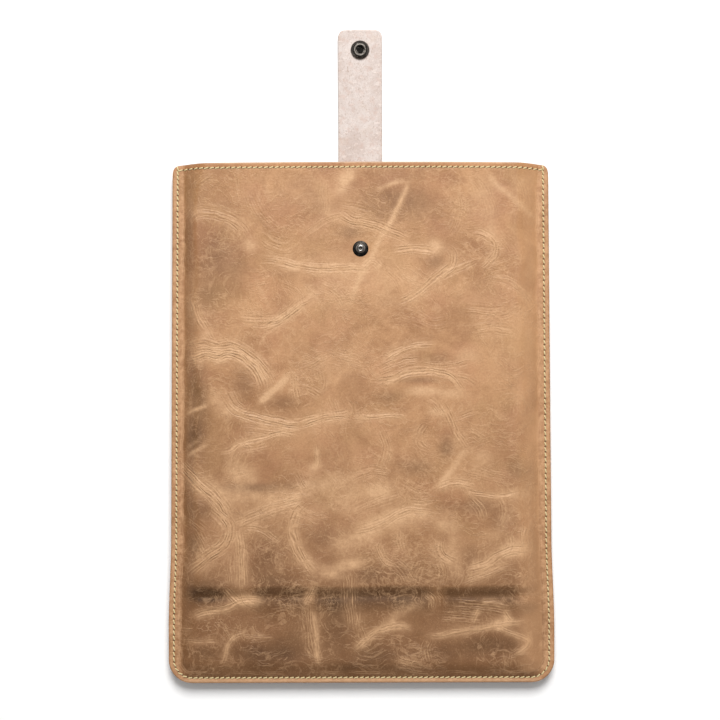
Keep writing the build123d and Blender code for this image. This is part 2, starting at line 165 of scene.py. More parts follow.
# ---------------------------------------------------------------------------------------------
# Creases. The oily leather wrinkles in fine parallel lines that follow a path, and turns light where
# it has been stretched. All places are in plan units.
# ---------------------------------------------------------------------------------------------
# (path, half width, strength of the wrinkles, lightness)
CREASES = [
    # upper left
    ([(186, 222), (196, 213), (212, 213), (226, 218), (238, 226), (248, 238)], 8, 0.8, 0.22),
    ([(194, 184), (201, 179), (209, 173)], 6, 0.7, 0.10),
    ([(236, 178), (237, 188), (238, 198)], 3, 0.8, 0.10),
    ([(250, 190), (256, 208), (266, 222), (276, 230)], 10, 0.45, 0.05),
    ([(262, 236), (272, 243), (284, 247), (292, 244)], 9, 0.6, 0.10),
    ([(255, 259), (272, 260), (288, 264), (306, 267), (325, 268), (350, 268), (374, 269)], 6, 0.9, 0.32),
    ([(236, 318), (256, 321), (274, 320), (289, 312), (301, 300)], 7, 0.9, 0.22),
    ([(258, 329), (272, 324), (288, 314), (300, 304), (313, 296)], 5, 1.0, 0.30),
    ([(190, 298), (195, 312), (203, 326), (211, 341)], 6, 0.9, 0.22),
    ([(324, 175), (323, 190), (325, 205), (322, 219)], 6, 0.5, 0.12),
    ([(302, 236), (316, 226), (330, 219), (344, 215)], 5, 0.6, 0.18),
    ([(279, 283), (296, 292), (300, 306)], 6, 0.4, 0.05),
    ([(318, 284), (336, 292), (345, 306)], 8, 0.4, 0.08),
    # upper right
    ([(336, 211), (350, 220), (363, 222), (376, 226), (388, 231), (401, 235), (412, 239)], 6.5, 1.25, 0.25),
    ([(340, 205), (356, 209), (372, 213)], 7, 0.5, 0.05),
    ([(391, 252), (407, 249), (421, 250), (434, 252)], 5, 1.15, 0.30),
    ([(444, 246), (452, 254), (451, 265), (443, 272), (431, 281), (421, 289), (411, 297), (393, 306)], 5.5, 1.15, 0.35),
    ([(440, 278), (452, 272), (466, 266), (476, 262)], 5, 0.8, 0.22),
    ([(479, 271), (488, 263), (494, 254), (494, 244), (488, 237), (478, 233), (468, 235)], 5, 1.1, 0.26),
    ([(488, 279), (503, 279), (514, 285), (525, 295), (534, 309)], 5, 0.7, 0.22),
    ([(464, 309), (484, 311), (506, 311)], 8, 0.55, 0.08),
    ([(474, 331), (492, 328), (512, 331)], 8, 0.6, 0.10),
    ([(454, 194), (459, 206), (456, 222), (450, 234)], 8, 0.6, 0.10),
    ([(470, 176), (480, 186), (488, 202), (492, 220)], 8, 0.4, 0.12),
    ([(516, 174), (522, 190), (524, 210)], 8, 0.45, 0.14),
    ([(362, 268), (372, 262), (380, 268)], 6, 0.6, 0.20),
    ([(388, 268), (400, 282), (404, 296)], 9, 0.4, 0.05),
    ([(500, 236), (512, 250), (520, 268)], 8, 0.35, 0.03),
    ([(412, 316), (430, 324), (446, 322)], 9, 0.4, 0.05),
    # left middle: the large swirl and what follows it
    ([(180, 349), (192, 345), (205, 343), (218, 346), (232, 345), (246, 352), (258, 362), (267, 375), (272, 390)], 7, 1.1, 0.24),
    ([(182, 361), (194, 358), (205, 354), (216, 356), (227, 354), (239, 356), (249, 364), (256, 374), (261, 385), (262, 396)], 6.5, 1.45, 0.42),
    ([(219, 388), (225, 399), (231, 408), (240, 413), (255, 418), (273, 421), (291, 424), (304, 422), (322, 417), (341, 415), (360, 412)], 6, 1.15, 0.34),
    ([(230, 391), (234, 402), (240, 409)], 6, 0.9, 0.12),
    ([(236, 426), (256, 428), (280, 430), (304, 428)], 6, 0.5, 0.10),
    ([(216, 452), (227, 451), (238, 444), (252, 440), (267, 436), (280, 433), (297, 434)], 3.5, 1.2, 0.36),
    ([(233, 458), (241, 449), (254, 447), (268, 443)], 6, 0.6, 0.12),
    ([(293, 374), (294, 386), (297, 399)], 5, 0.9, 0.22),
    ([(297, 386), (308, 389), (321, 395)], 6, 0.6, 0.10),
    ([(318, 370), (321, 382), (320, 392)], 5, 0.6, 0.10),
    ([(300, 366), (312, 362), (322, 356)], 7, 0.55, 0.12),
    ([(336, 354), (346, 356), (354, 358)], 6, 0.6, 0.10),
    ([(315, 445), (316, 456), (316, 468)], 2.5, 1.1, 0.30),
    ([(296, 474), (300, 482), (304, 489)], 6, 0.8, 0.05),
    ([(330, 398), (334, 408), (336, 418)], 6, 0.5, 0.05),
    ([(175, 462), (188, 475), (201, 487), (214, 498), (222, 508), (227, 520)], 8, 1.3, 0.26),
    # right middle
    ([(380, 362), (393, 354), (407, 348), (421, 345), (436, 344)], 4.5, 1.0, 0.36),
    ([(376, 372), (390, 366), (404, 362), (420, 360)], 7, 0.8, 0.14),
    ([(369, 381), (388, 380), (401, 375), (419, 372), (437, 373), (450, 377), (458, 386), (463, 394)], 4.8, 1.35, 0.42),
    ([(420, 365), (436, 367), (452, 366), (470, 362)], 5, 0.8, 0.10),
    ([(454, 376), (466, 379), (476, 384)], 5, 0.7, 0.10),
    ([(350, 418), (368, 417), (388, 416), (408, 417)], 3, 1.1, 0.36),
    ([(426, 400), (433, 404), (438, 412)], 6, 0.8, 0.15),
    ([(440, 402), (446, 414), (454, 429), (460, 440), (466, 448)], 5, 1.3, 0.20),
    ([(456, 420), (466, 415), (476, 411)], 4, 0.7, 0.12),
    ([(377, 428), (383, 440), (385, 452), (382, 466)], 6, 0.8, 0.12),
    ([(424, 424), (418, 433), (420, 444), (428, 450)], 6, 0.8, 0.14),
    ([(466, 433), (474, 434), (482, 440)], 6, 0.7, 0.08),
    ([(350, 479), (360, 474), (372, 471), (388, 474)], 6, 0.7, 0.12),
    ([(436, 490), (447, 484), (459, 483), (474, 487)], 5, 1.0, 0.34),
    ([(461, 491), (477, 494), (490, 496), (504, 496), (518, 492)], 3.2, 1.0, 0.26),
    ([(470, 470), (490, 476), (506, 480)], 8, 0.5, 0.10),
    ([(402, 480), (412, 488), (424, 493)], 6, 0.6, 0.05),
    # lower left
    ([(208, 506), (221, 518), (227, 528), (225, 539), (217, 549), (205, 557), (193, 566), (183, 575)], 8, 1.35, 0.30),
    ([(237, 528), (239, 545), (240, 562), (240, 578), (240, 592)], 5.5, 1.4, 0.34),
    ([(228, 552), (229, 570), (231, 586)], 5, 0.8, 0.10),
    ([(232, 526), (246, 519), (266, 511), (285, 505), (305, 500)], 7, 0.7, 0.28),
    ([(242, 528), (257, 529), (270, 536), (280, 543)], 4, 0.8, 0.16),
    ([(304, 502), (296, 511), (292, 523), (292, 538), (297, 552), (305, 564), (314, 574)], 6, 1.35, 0.34),
    ([(195, 532), (202, 546), (206, 556)], 7, 0.6, 0.05),
    ([(184, 522), (194, 526), (204, 534)], 8, 0.5, 0.02),
    ([(224, 590), (229, 596), (236, 603)], 5, 1.2, 0.15),
    ([(240, 594), (244, 601), (252, 606)], 5, 0.8, 0.15),
    ([(184, 618), (208, 612), (225, 608), (238, 602), (252, 600), (264, 603)], 5, 0.9, 0.42),
    ([(179, 642), (196, 642), (216, 641)], 3, 0.8, 0.24),
    ([(178, 630), (190, 631)], 3, 0.8, 0.15),
    ([(247, 632), (232, 638), (225, 647), (223, 657), (219, 667)], 2.6, 1.0, 0.36),
    ([(240, 638), (255, 638), (272, 638)], 3, 0.7, 0.14),
    ([(305, 606), (306, 622), (309, 640), (312, 660)], 8, 0.9, 0.12),
    ([(313, 586), (307, 597), (302, 606)], 3.4, 1.2, 0.40),
    ([(310, 608), (313, 624), (314.5, 643), (315, 656), (318, 669)], 2.2, 1.0, 0.46),
    ([(346, 572), (347, 590), (349, 610), (353, 632)], 8, 0.9, 0.12),
    # lower right
    ([(350, 534), (375, 526), (396, 515), (410, 510), (433, 513)], 7, 0.8, 0.32),
    ([(350, 514), (366, 506), (384, 500), (404, 494)], 7, 0.5, 0.18),
    ([(399, 532), (399, 542), (401, 552)], 5, 1.1, 0.24),
    ([(381, 541), (378, 548), (384, 560), (392, 566)], 5, 1.0, 0.22),
    ([(438, 540), (438, 548), (444, 557), (453, 562)], 6, 1.1, 0.24),
    ([(410, 500), (421, 502), (432, 500)], 5, 0.8, 0.14),
    ([(469, 498), (478, 508), (483, 520)], 6, 1.0, 0.14),
    ([(499, 498), (503, 510), (500, 524)], 6, 0.7, 0.10),
    ([(462, 570), (484, 565), (497, 556), (510, 551), (529, 549)], 6, 0.9, 0.42),
    ([(460, 583), (477, 577), (492, 571), (508, 566)], 5, 0.7, 0.20),
    ([(508, 536), (509, 545), (507, 552)], 4, 1.0, 0.28),
    ([(523, 526), (522, 536), (525, 548)], 4.5, 1.0, 0.26),
    ([(392, 562), (402, 572), (408, 582)], 8, 0.8, 0.03),
    ([(418, 562), (414, 574), (412, 584)], 7, 0.7, 0.03),
    ([(438, 562), (441, 572), (438, 584)], 7, 0.7, 0.06),
    ([(425, 594), (431, 600), (430, 608)], 5, 1.2, 0.08),
    ([(447, 606), (470, 606), (492, 609), (512, 612)], 7, 0.8, 0.08),
    ([(440, 616), (462, 618), (480, 620)], 8, 0.7, 0.08),
    ([(350, 653), (360, 645), (371, 635), (384, 629), (398, 627), (412, 630)], 3.6, 1.0, 0.60),
    ([(421, 635), (437, 637), (452, 634), (471, 631), (488, 628), (504, 626), (527, 622)], 3.4, 0.9, 0.46),
    ([(488, 629), (503, 632), (516, 637), (527, 643), (522, 651), (510, 657)], 3.0, 0.9, 0.40),
    ([(479, 604), (492, 603), (504, 606)], 3.5, 0.8, 0.34),
    ([(478, 610), (474, 617), (471, 624)], 2.6, 0.9, 0.42),
    ([(502, 611), (506, 617), (510, 623)], 3.0, 0.9, 0.45),
    ([(395, 661), (408, 664), (422, 668)], 4, 0.7, 0.20),
    ([(427, 642), (424, 652), (426, 662)], 7, 0.8, 0.05),
    ([(508, 654), (507, 662), (505, 670)], 5, 0.7, 0.08),
    ([(358, 612), (358, 628), (362, 642)], 5, 0.8, 0.06),
]
# soft light lines, without wrinkles: (path, half width, lightness)
LIGHTS = [
    ([(413, 171), (406, 187), (401, 199), (393, 216), (388, 225), (380, 237), (373, 252), (365, 265), (357, 283), (349, 303), (344, 314)], 2.3, 0.62),
    ([(486, 172), (494, 183), (505, 193), (519, 204), (531, 214), (540, 224)], 3.0, 0.48),
    ([(373, 191), (383, 187), (394, 183), (407, 182)], 1.8, 0.50),
    ([(253, 276), (260, 290), (269, 308)], 1.8, 0.25),
    ([(352, 170), (345, 180), (338, 192)], 5.0, 0.50),
    ([(258, 403), (269, 393), (279, 384), (287, 375)], 3.4, 0.80),
    ([(184, 414), (192, 410), (207, 405)], 1.6, 0.55),
    ([(184, 457), (195, 450), (206, 444)], 2.0, 0.45),
    ([(186, 447), (196, 441)], 1.8, 0.30),
    ([(265, 333), (258, 346)], 1.6, 0.35),
    ([(466, 448), (460, 456), (452, 468), (444, 478), (434, 490)], 3.0, 0.60),
    ([(188, 482), (230, 494), (279, 497), (316, 486), (360, 476)], 8.0, 0.42),
    ([(214, 392), (216, 404), (226, 416)], 6.0, 0.35),
    ([(232, 458), (231, 470), (240, 481)], 6.0, 0.30),
    ([(300, 560), (330, 572), (345, 564)], 6.0, 0.25),
    ([(340, 500), (362, 492), (392, 486)], 9.0, 0.30),
    ([(384, 626), (401, 611), (421, 604)], 5.0, 0.32),
    ([(335, 545), (356, 534), (384, 520)], 9.0, 0.30),
    ([(305, 520), (325, 505), (345, 496)], 10.0, 0.22),
    ([(440, 512), (452, 526), (452, 540), (456, 552)], 7.0, 0.24),
    ([(432, 558), (450, 566), (456, 578)], 6.0, 0.20),
    ([(484, 540), (500, 530), (508, 514)], 7.0, 0.18),
    ([(436, 545), (448, 552), (456, 562), (452, 575)], 4.5, 0.20),
    ([(306, 580), (325, 572), (345, 564), (366, 557)], 5.5, 0.20),
]
# soft patches: (middle, half sizes, lightness if above zero and darkness if below); many of the dark ones, along the
# hollow past the filled part and in the last rows over the slope to the bottom seam, are painted shade
PATCHES = [
    ((250, 245), (7, 7), 0.50), ((344, 176), (8, 8), 0.40), ((290, 265), (8, 5), 0.40), ((311, 292), (9, 7), 0.35),
    ((433, 247), (10, 8), 0.55), ((411, 278), (9, 8), 0.30), ((482, 202), (14, 30), 0.16), ((490, 228), (6, 12), 0.22),
    ((219, 357), (8, 5), 0.55), ((212, 346), (5, 5), 0.25), ((422, 391), (18, 5), 0.62), ((452, 394), (14, 6), 0.42),
    ((466, 356), (11, 7), 0.35), ((243, 473), (12, 10), 0.45), ((251, 479), (5, 4), 0.30), ((313, 467), (8, 5), 0.40),
    ((435, 412), (9, 4), 0.35), ((481, 458), (11, 8), 0.30), ((516, 494), (14, 7), 0.38), ((378, 491), (13, 8), 0.35),
    ((248, 601), (13, 5), 0.50), ((443, 526), (11, 7), 0.35), ((500, 622), (14, 4), 0.45), ((351, 564), (11, 5), 0.42),
    ((517, 551), (13, 6), 0.40), ((400, 518), (24, 8), 0.25), ((350, 420), (30, 5), 0.10), ((404, 600), (10, 8), 0.10),
    ((334, 576), (14, 4), 0.20), ((528, 630), (12, 16), 0.16), ((528, 180), (10, 10), 0.25), ((336, 300), (16, 20), 0.12),
    ((385, 300), (12, 16), 0.12), ((470, 290), (26, 10), 0.10), ((335, 360), (26, 22), 0.10), ((286, 190), (20, 16), 0.12),
    ((222, 262), (24, 42), -0.34), ((205, 300), (12, 20), -0.18), ((196, 404), (11, 46), -0.45), ((192, 440), (8, 14), -0.25),
    ((400, 203), (36, 17), -0.26), ((350, 232), (12, 7), -0.35), ((434, 261), (9, 8), -0.28), ((243, 383), (12, 18), -0.28),
    ((280, 402), (18, 8), -0.25), ((252, 488), (42, 5), -0.35), ((300, 484), (30, 5), -0.18), ((445, 447), (8, 12), -0.40),
    ((414, 467), (18, 9), -0.32), ((432, 360), (24, 7), -0.22), ((419, 380), (20, 3), -0.40), ((387, 397), (14, 7), -0.28),
    ((520, 470), (14, 10), -0.30), ((478, 507), (16, 9), -0.30), ((500, 520), (10, 14), -0.20), ((200, 508), (13, 12), -0.35),
    ((193, 545), (9, 12), -0.40), ((265, 555), (22, 26), -0.30), ((258, 514), (22, 6), -0.20), ((322, 536), (20, 12), -0.22),
    ((370, 576), (15, 10), -0.34), ((400, 572), (14, 10), -0.22), ((205, 592), (22, 12), -0.55), ((275, 583), (20, 8), -0.28),
    ((362, 539), (14, 7), 0.30), ((345, 546), (12, 8), 0.20), ((415, 516), (26, 7), 0.28), ((402, 524), (20, 8), 0.14),
    ((515, 549), (16, 7), 0.24), ((348, 510), (10, 6), 0.24), ((455, 508), (18, 7), -0.14), ((470, 555), (10, 10), -0.17),
    ((225, 470), (42, 56), -0.13), ((500, 440), (42, 48), -0.10), ((360, 208), (66, 32), -0.11),
    ((370, 275), (60, 26), 0.22), ((500, 350), (40, 40), 0.10), ((330, 200), (40, 16), 0.10), ((470, 300), (50, 20), 0.08),
    ((280, 656), (120, 15), -0.13), ((450, 656), (110, 15), -0.13), ((330, 380), (46, 170), 0.09), ((525, 400), (20, 160), 0.07),
    ((528, 609), (9, 7), -0.55), ((205, 597), (22, 6), -0.50), ((335, 622), (16, 26), -0.38), ((260, 655), (30, 14), -0.45),
    ((200, 655), (16, 8), -0.25), ((288, 650), (16, 18), -0.25), ((345, 668), (22, 6), -0.25), ((490, 646), (28, 10), -0.42),
    ((375, 658), (20, 12), -0.30), ((440, 655), (20, 10), -0.18), ((400, 603), (16, 6), -0.25), ((460, 616), (24, 6), -0.14),
    ((300, 669), (100, 5), -0.18), ((440, 670), (90, 5), -0.18), ((192, 669), (22, 5), -0.18), ((528, 668), (14, 5), -0.14),
    ((300, 622), (14, 20), -0.15), ((270, 618), (14, 8), -0.15), ((340, 574), (6, 8), -0.10),
]
# where the filled part ends the panel drops over a sharp edge: (from, to, darkness of the painted shade in the hollow)
HOLLOWS = [(184, 226, 0.26), (250, 306, 0.62), (311, 430, 0.76), (441, 517, 0.60)]
# patches covered with a net of small creases: (middle, half sizes, strength)
NETS = [
    ((215, 627), (26, 11), 1.0), ((276, 236), (16, 14), 0.7), ((306, 380), (18, 16), 0.7), ((393, 364), (20, 12), 0.6),
    ((396, 545), (20, 14), 0.6), ((440, 548), (14, 14), 0.7), ((470, 438), (12, 10), 0.7), ((198, 548), (16, 18), 0.6),
    ((350, 300), (20, 30), 0.45), ((460, 210), (16, 22), 0.5), ((430, 575), (22, 14), 0.35), ((300, 480), (16, 10), 0.5),
    ((490, 320), (28, 14), 0.5), ((205, 182), (16, 14), 0.5), ((430, 440), (16, 18), 0.5), ((510, 530), (18, 20), 0.5),
    ((330, 240), (20, 16), 0.4), ((400, 320), (24, 16), 0.35), ((350, 350), (20, 14), 0.4), ((470, 612), (30, 10), 0.5),
]


def stroke_points(points):
    """The line through the points, finely divided, in millimetres."""
    p = np.array([plan(*q) for q in points], float)
    p = np.vstack([2 * p[0] - p[1], p, 2 * p[-1] - p[-2]])
    out = []
    for i in range(1, len(p) - 2):
        for t in np.linspace(0, 1, 9)[:-1]:
            a, b, c, d = p[i - 1], p[i], p[i + 1], p[i + 2]
            out.append(0.5 * (2 * b + (c - a) * t + (2 * a - 5 * b + 4 * c - d) * t ** 2 + (3 * b - a - 3 * c + d) * t ** 3))
    out.append(p[-2])
    return np.array(out)


def along(points, x, y, reach):
    """For each place near a line: run along it, signed distance across, and the line's length."""
    q = stroke_points(points)
    seg = q[1:] - q[:-1]
    length = np.linalg.norm(seg, axis=1)
    start = np.concatenate([[0], np.cumsum(length)[:-1]])
    near = np.flatnonzero((x > q[:, 0].min() - reach) & (x < q[:, 0].max() + reach)
                          & (y > q[:, 1].min() - reach) & (y < q[:, 1].max() + reach))
    p = np.stack([x[near], y[near]], 1)
    best = np.full(len(near), 1e9)
    u, v = np.zeros(len(near)), np.zeros(len(near))
    for i in range(len(seg)):
        e = seg[i] / max(length[i], 1e-9)
        r = p - q[i]
        t = np.clip(r @ e, 0, length[i])
        off = r - t[:, None] * e
        dist = np.hypot(off[:, 0], off[:, 1])
        side = e[0] * r[:, 1] - e[1] * r[:, 0]
        take = dist < best
        best[take] = dist[take]
        u[take] = start[i] + t[take]
        v[take] = (np.sign(side) * dist)[take]
    return near, u, v, float(length.sum())


LAYERS = 8


def crease_fields(x, y):
    """Wrinkles as (run, across, strength) in layers whose strokes don't meet, the light and dark marks (the dark ones
    partly painted shade), the net of small creases and the low relief they stand in."""
    layers = [np.zeros((len(x), 3)) for _ in range(LAYERS)]
    light, dark, net, relief = (np.zeros(len(x)) for _ in range(4))
    for number, (points, hw, strength, lightness) in enumerate(CREASES):
        w = hw * UNIT
        if min(q[1] for q in points) > 598:
            lightness *= 0.76
        near, u, v, total = along(points, x, y, w * 3.2)
        ends = smooth(-0.4 * w, 0.22 * total, u) * smooth(-0.4 * w, 0.22 * total, total - u)
        past = np.hypot(v, 0) / w
        m = strength * (1 - smooth(0.45, 1.30, past)) * ends
        light[near] += lightness * (1.15 * np.exp(-(v / (1.05 * w)) ** 2) + 0.25 * np.exp(-(v / (2.0 * w)) ** 2)) * ends
        relief[near] += 0.16 * m * np.cos(2 * math.pi * v / 5.4 + number) + 0.22 * lightness * np.exp(-(v / w) ** 2) * ends
        keep = m > 0.002
        on = near[keep]
        for layer in layers:
            if not layer[on, 2].any():
                break
        else:
            continue
        # each stroke's run starts elsewhere, so that no two carry the same pattern
        layer[on] = np.stack([u[keep] + 61.0 * number, v[keep] + 23.0 * number, m[keep]], 1)
        sel = (~keep) & (layer[near, 2] == 0)
        layer[near[sel]] = np.stack([u[sel] + 61.0 * number, v[sel] + 23.0 * number, np.zeros(sel.sum())], 1)
    for points, hw, lightness in LIGHTS:
        w = hw * UNIT
        near, u, v, total = along(points, x, y, w * 3)
        ends = smooth(-w, 0.18 * total, u) * smooth(-w, 0.18 * total, total - u)
        light[near] += lightness * np.exp(-(v / (1.12 * w)) ** 2) * ends
        relief[near] += 0.10 * lightness * np.exp(-(v / w) ** 2) * ends
    for middle, size, amount in PATCHES:
        cx, cy = plan(*middle)
        q = ((x - cx) / (size[0] * UNIT)) ** 2 + ((y - cy) / (size[1] * UNIT)) ** 2
        mark = abs(amount) * np.exp(-q ** 1.25)
        if amount > 0:
            light += mark
        else:
            dark += mark
    u, v = x / UNIT + 359.7, 161.5 - (y - Y_MOUTH) / UNIT
    edge = 586.0 + 0.9 * np.sin(u / 17.0)
    sunk = np.zeros(len(x))
    # painted shade in the hollow under the edge where the filled part ends
    for lo, hi, amount in HOLLOWS:
        span = smooth(lo - 5, lo + 8, u) * smooth(hi + 5, hi - 8, u)
        fall = smooth(edge - 1.0, edge + 2.0, v) * (0.66 + 0.34 * smooth(edge + 3, edge + 8, v))
        fall = fall * (1 - smooth(edge + 9, edge + 34, v))
        dark += amount * span * fall
        sunk = np.maximum(sunk, span * fall)
    for middle, size, amount in NETS:
        cx, cy = plan(*middle)
        q = ((x - cx) / (size[0] * UNIT)) ** 2 + ((y - cy) / (size[1] * UNIT)) ** 2
        net += amount * np.exp(-q)
    # in the painted shade of the hollow the creases and light marks are fainter
    net *= 1 - 0.75 * sunk
    light *= 1 - 0.35 * sunk
    return layers, light, dark, net, relief


def soft_noise(x, y, seed, size, octaves=2):
    """Smooth random relief, about -1 to 1, with features of the given size in millimetres."""
    r = np.random.default_rng(seed)
    out, total = np.zeros_like(x), 0.0
    for o in range(octaves):
        for _ in range(7):
            a = r.uniform(0, 2 * math.pi)
            k = 2 * math.pi / (size * r.uniform(0.7, 1.5) / 2 ** o)
            out += np.sin(k * (x * math.cos(a) + y * math.sin(a)) + r.uniform(0, 6.28)) / 2 ** o
        total += math.sqrt(7 / 2) / 2 ** o
    return out / total / 1.6


# ---------------------------------------------------------------------------------------------
# Height of the leather
# ---------------------------------------------------------------------------------------------
Y_STEP = plan(0, 588)[1]      # the front sinks here, past the end of what fills it


def front_height(x, y, d):
    """Outer face of the front panel."""
    base = SEAM_Z + PANEL_T
    side = np.maximum(side_line(y) - np.abs(x), 0.0)
    end = np.maximum(y - Y_BOT, 0.0)
    # over the sides the leather bends sharply over what is inside; at the bottom it slopes down to the seam
    k = smooth(0.25, 0.75, side / (side + end + 1e-6))
    uneven = soft_noise(x * 0.0 + np.sign(x) * 40, y, 31, 60)
    open_end = smooth(Y_MOUTH - 30, Y_MOUTH, y)
    run = (12.2 + 2.6 * uneven + 4.5 * open_end + 3.2 * (x > 0)) * (1 - k) + 14.0 * k
    start = MARGIN + 0.5 + (0.5 * uneven - 1.4 * open_end) * (1 - k) - 5.2 * k
    t = np.clip((d - start) / run, 0, 1)
    wall = (np.sin(t * math.pi / 2) ** 1.3) * (1 - k) + np.sin(t * math.pi / 2) ** 0.98 * k
    crown = 0.15 * smooth(16, 70, d)
    ripple = 0.34 * soft_noise(x, y, 4, 90) * smooth(14, 40, d)
    ripple += 0.15 * soft_noise(x, y, 9, 34) * smooth(12, 26, d)
    calm = 1 - np.exp(-((np.hypot(x - STUD[0], y - STUD[1])) / 13.0) ** 2)
    # past the filled part the panel drops over a rounded edge, then runs down to the bottom seam
    wave = 0.9 * np.sin(x / 34.0 + 0.6) + 0.5 * np.sin(x / 13.0)
    below = Y_STEP + wave * 0.4 - y
    bridge = np.exp(-((x - plan(243, 0)[0]) / 9.0) ** 2) * 0.75 + np.exp(-((x - plan(434, 0)[0]) / 8.0) ** 2) * 0.55
    bridge += np.exp(-((x - plan(309, 0)[0]) / 3.0) ** 2) * 0.35
    depth = smooth(-1.8, 7.5, below)
    low = 3.2 * depth + 1.5 * smooth(8, 58, below) - 0.8 * np.exp(-((below - 11) / 6.0) ** 2) * (1 - bridge)
    low -= 1.7 * bridge * np.exp(-((below - 7) / 7.0) ** 2)
    top = TOP_Z - 0.15 - low
    z = base + (top - base) * wall + crown + ripple * calm
    # the impressed line beside the seam margin, and the stitch line drawn into the leather
    z -= 0.16 * np.exp(-((d - MARGIN + 0.3) / 0.55) ** 2) * (1 - k) * (1 - open_end)
    z -= 0.22 * np.exp(-((d - STITCH_IN) / 0.8) ** 2)
    z -= 0.35 * (1 - smooth(0.0, 1.1, d))
    mouth = Y_MOUTH - y
    z -= 0.16 * np.exp(-((mouth - STITCH_IN) / 0.8) ** 2) * smooth(3, 6, d)
    z -= 0.35 * (1 - smooth(0.0, 1.0, mouth))
    return z


def droop(d, y):
    """How far the mouth's edge is drawn down towards its ends, and its rounded corners."""
    near = smooth(Y_MOUTH - 16, Y_MOUTH, y)
    corner = np.clip(3.5 - d, 0, 3.5)
    round_ = 3.5 - np.sqrt(np.maximum(3.5 ** 2 - corner ** 2, 0))
    return (2.3 * np.exp(-d / 3.5) + 1.3 * np.exp(-d / 45.0)) * near + round_ * smooth(Y_MOUTH - 8, Y_MOUTH, y)


def back_height(x, y, d):
    """Outer face of the back panel, which lies on the table and over the strap's sewn end."""
    t = np.clip((d - MARGIN + 0.3) / 8.2, 0, 1)
    wall = np.sin(t * math.pi / 2) ** 1.25
    z = (SEAM_Z - PANEL_T) * (1 - wall)
    over_x = 1 - smooth(STRAP_W / 2 + 0.6, STRAP_W / 2 + 7, np.abs(x))
    over_y = smooth(blo[1] - 8, blo[1] - 0.6, y)
    z = np.maximum(z, (STRAP_T + 0.03) * over_x * over_y)
    z += 0.12 * np.maximum(1 + soft_noise(x, y, 14, 60), 0.02) * smooth(16, 40, d) * (1 - over_x * over_y)
    z = np.maximum(z, 0.78 * smooth(Y_MOUTH - 10, Y_MOUTH - 5.5, y))
    z += 0.25 * (1 - smooth(0.0, 1.1, d))
    z += 0.2 * np.exp(-((d - STITCH_IN) / 0.8) ** 2)
    return z


def spaced(lo, hi, fine, coarse, edge_lo, edge_hi):
    """Places from lo to hi, fine near the ends."""
    out, p = [lo], lo
    while p < hi:
        k = min((p - lo) / edge_lo if edge_lo else 1, (hi - p) / edge_hi if edge_hi else 1, 1.0)
        p += fine + (coarse - fine) * max(k, 0) ** 1.5
        out.append(p)
    out = np.array(out)
    return lo + (out - lo) * (hi - lo) / (out[-1] - lo)


def shell_mesh(name, nx, ny, outer, thickness, sign):
    """Closed leather shell. outer(x, y, d) is its outer face, sign is +1 if that face looks up."""
    a = (nx - nx.min()) / (nx.max() - nx.min()) * 2 - 1
    rows = ny
    w = half_width(rows)
    X = a[None, :] * w[:, None]
    Y = np.repeat(rows[:, None], len(a), 1)
    d, s, _ = edge_distance(X.ravel(), Y.ravel())
    d = np.maximum(d, 0)
    x, y = X.ravel(), Y.ravel()
    z = outer(x, y, d)
    shift = droop(d, y)
    ys = y - shift
    Z = z.reshape(X.shape)
    Ys = ys.reshape(X.shape)
    P = np.stack([X, Ys, Z], -1)
    du = np.gradient(P, axis=1)
    dv = np.gradient(P, axis=0)
    n = np.cross(du, dv)
    n /= np.maximum(np.linalg.norm(n, axis=-1, keepdims=True), 1e-9)
    n *= np.where(n[..., 2:3] < 0, -1, 1)
    t = thickness(d).reshape(X.shape)
    Q = P - sign * n * t[..., None]
    # the inner face keeps to the same plan outline at the open edges
    flat = (1 - smooth(4, 9, d)).reshape(X.shape)[..., None]
    Q = Q * (1 - flat) + (P - sign * np.array([0, 0, 1]) * t[..., None]) * flat
    Q[..., 1] = np.minimum(Q[..., 1], P[..., 1] + 0.02)
    R, C = X.shape
    verts = np.concatenate([P.reshape(-1, 3), Q.reshape(-1, 3)]) * MM
    idx = np.arange(R * C).reshape(R, C)
    o = np.stack([idx[:-1, :-1], idx[:-1, 1:], idx[1:, 1:], idx[1:, :-1]], -1).reshape(-1, 4)
    i = o[:, ::-1] + R * C
    ring = np.concatenate([idx[0, :-1], idx[:-1, -1], idx[-1, :0:-1], idx[:0:-1, 0]])
    nxt = np.roll(ring, -1)
    e = np.stack([nxt, ring, ring + R * C, nxt + R * C], -1)
    if sign < 0:
        o, i, e = o[:, ::-1], i[:, ::-1], e[:, ::-1]
    faces = np.concatenate([o, i, e])
    mesh = bpy.data.meshes.new(name)
    mesh.vertices.add(len(verts))
    mesh.vertices.foreach_set("co", verts.astype(np.float32).ravel())
    mesh.loops.add(faces.size)
    mesh.loops.foreach_set("vertex_index", faces.astype(np.int32).ravel())
    mesh.polygons.add(len(faces))
    mesh.polygons.foreach_set("loop_start", np.arange(0, faces.size, 4, dtype=np.int32))
    mesh.polygons.foreach_set("material_index", np.concatenate(
        [np.zeros(len(o)), np.ones(len(i)), np.full(len(e), 2)]).astype(np.int32))
    mesh.update(calc_edges=True)
    mesh.validate()
    mesh.polygons.foreach_set("use_smooth", np.ones(len(mesh.polygons), bool))
    two = lambda v: np.concatenate([v, v])
    add_vector(mesh, "seam", np.stack([two(s), two(d), two(Y_MOUTH - y)], 1))
    return mesh, x, y, d, two


def add_vector(mesh, name, values):
    at = mesh.attributes.new(name, "FLOAT_VECTOR", "POINT")
    at.data.foreach_set("vector", np.asarray(values, np.float32).ravel())


def add_float(mesh, name, values):
    at = mesh.attributes.new(name, "FLOAT", "POINT")
    at.data.foreach_set("value", np.asarray(values, np.float32).ravel())


def new_object(name, mesh):
    o = bpy.data.objects.new(name, mesh)
    bpy.context.scene.collection.objects.link(o)
    return o


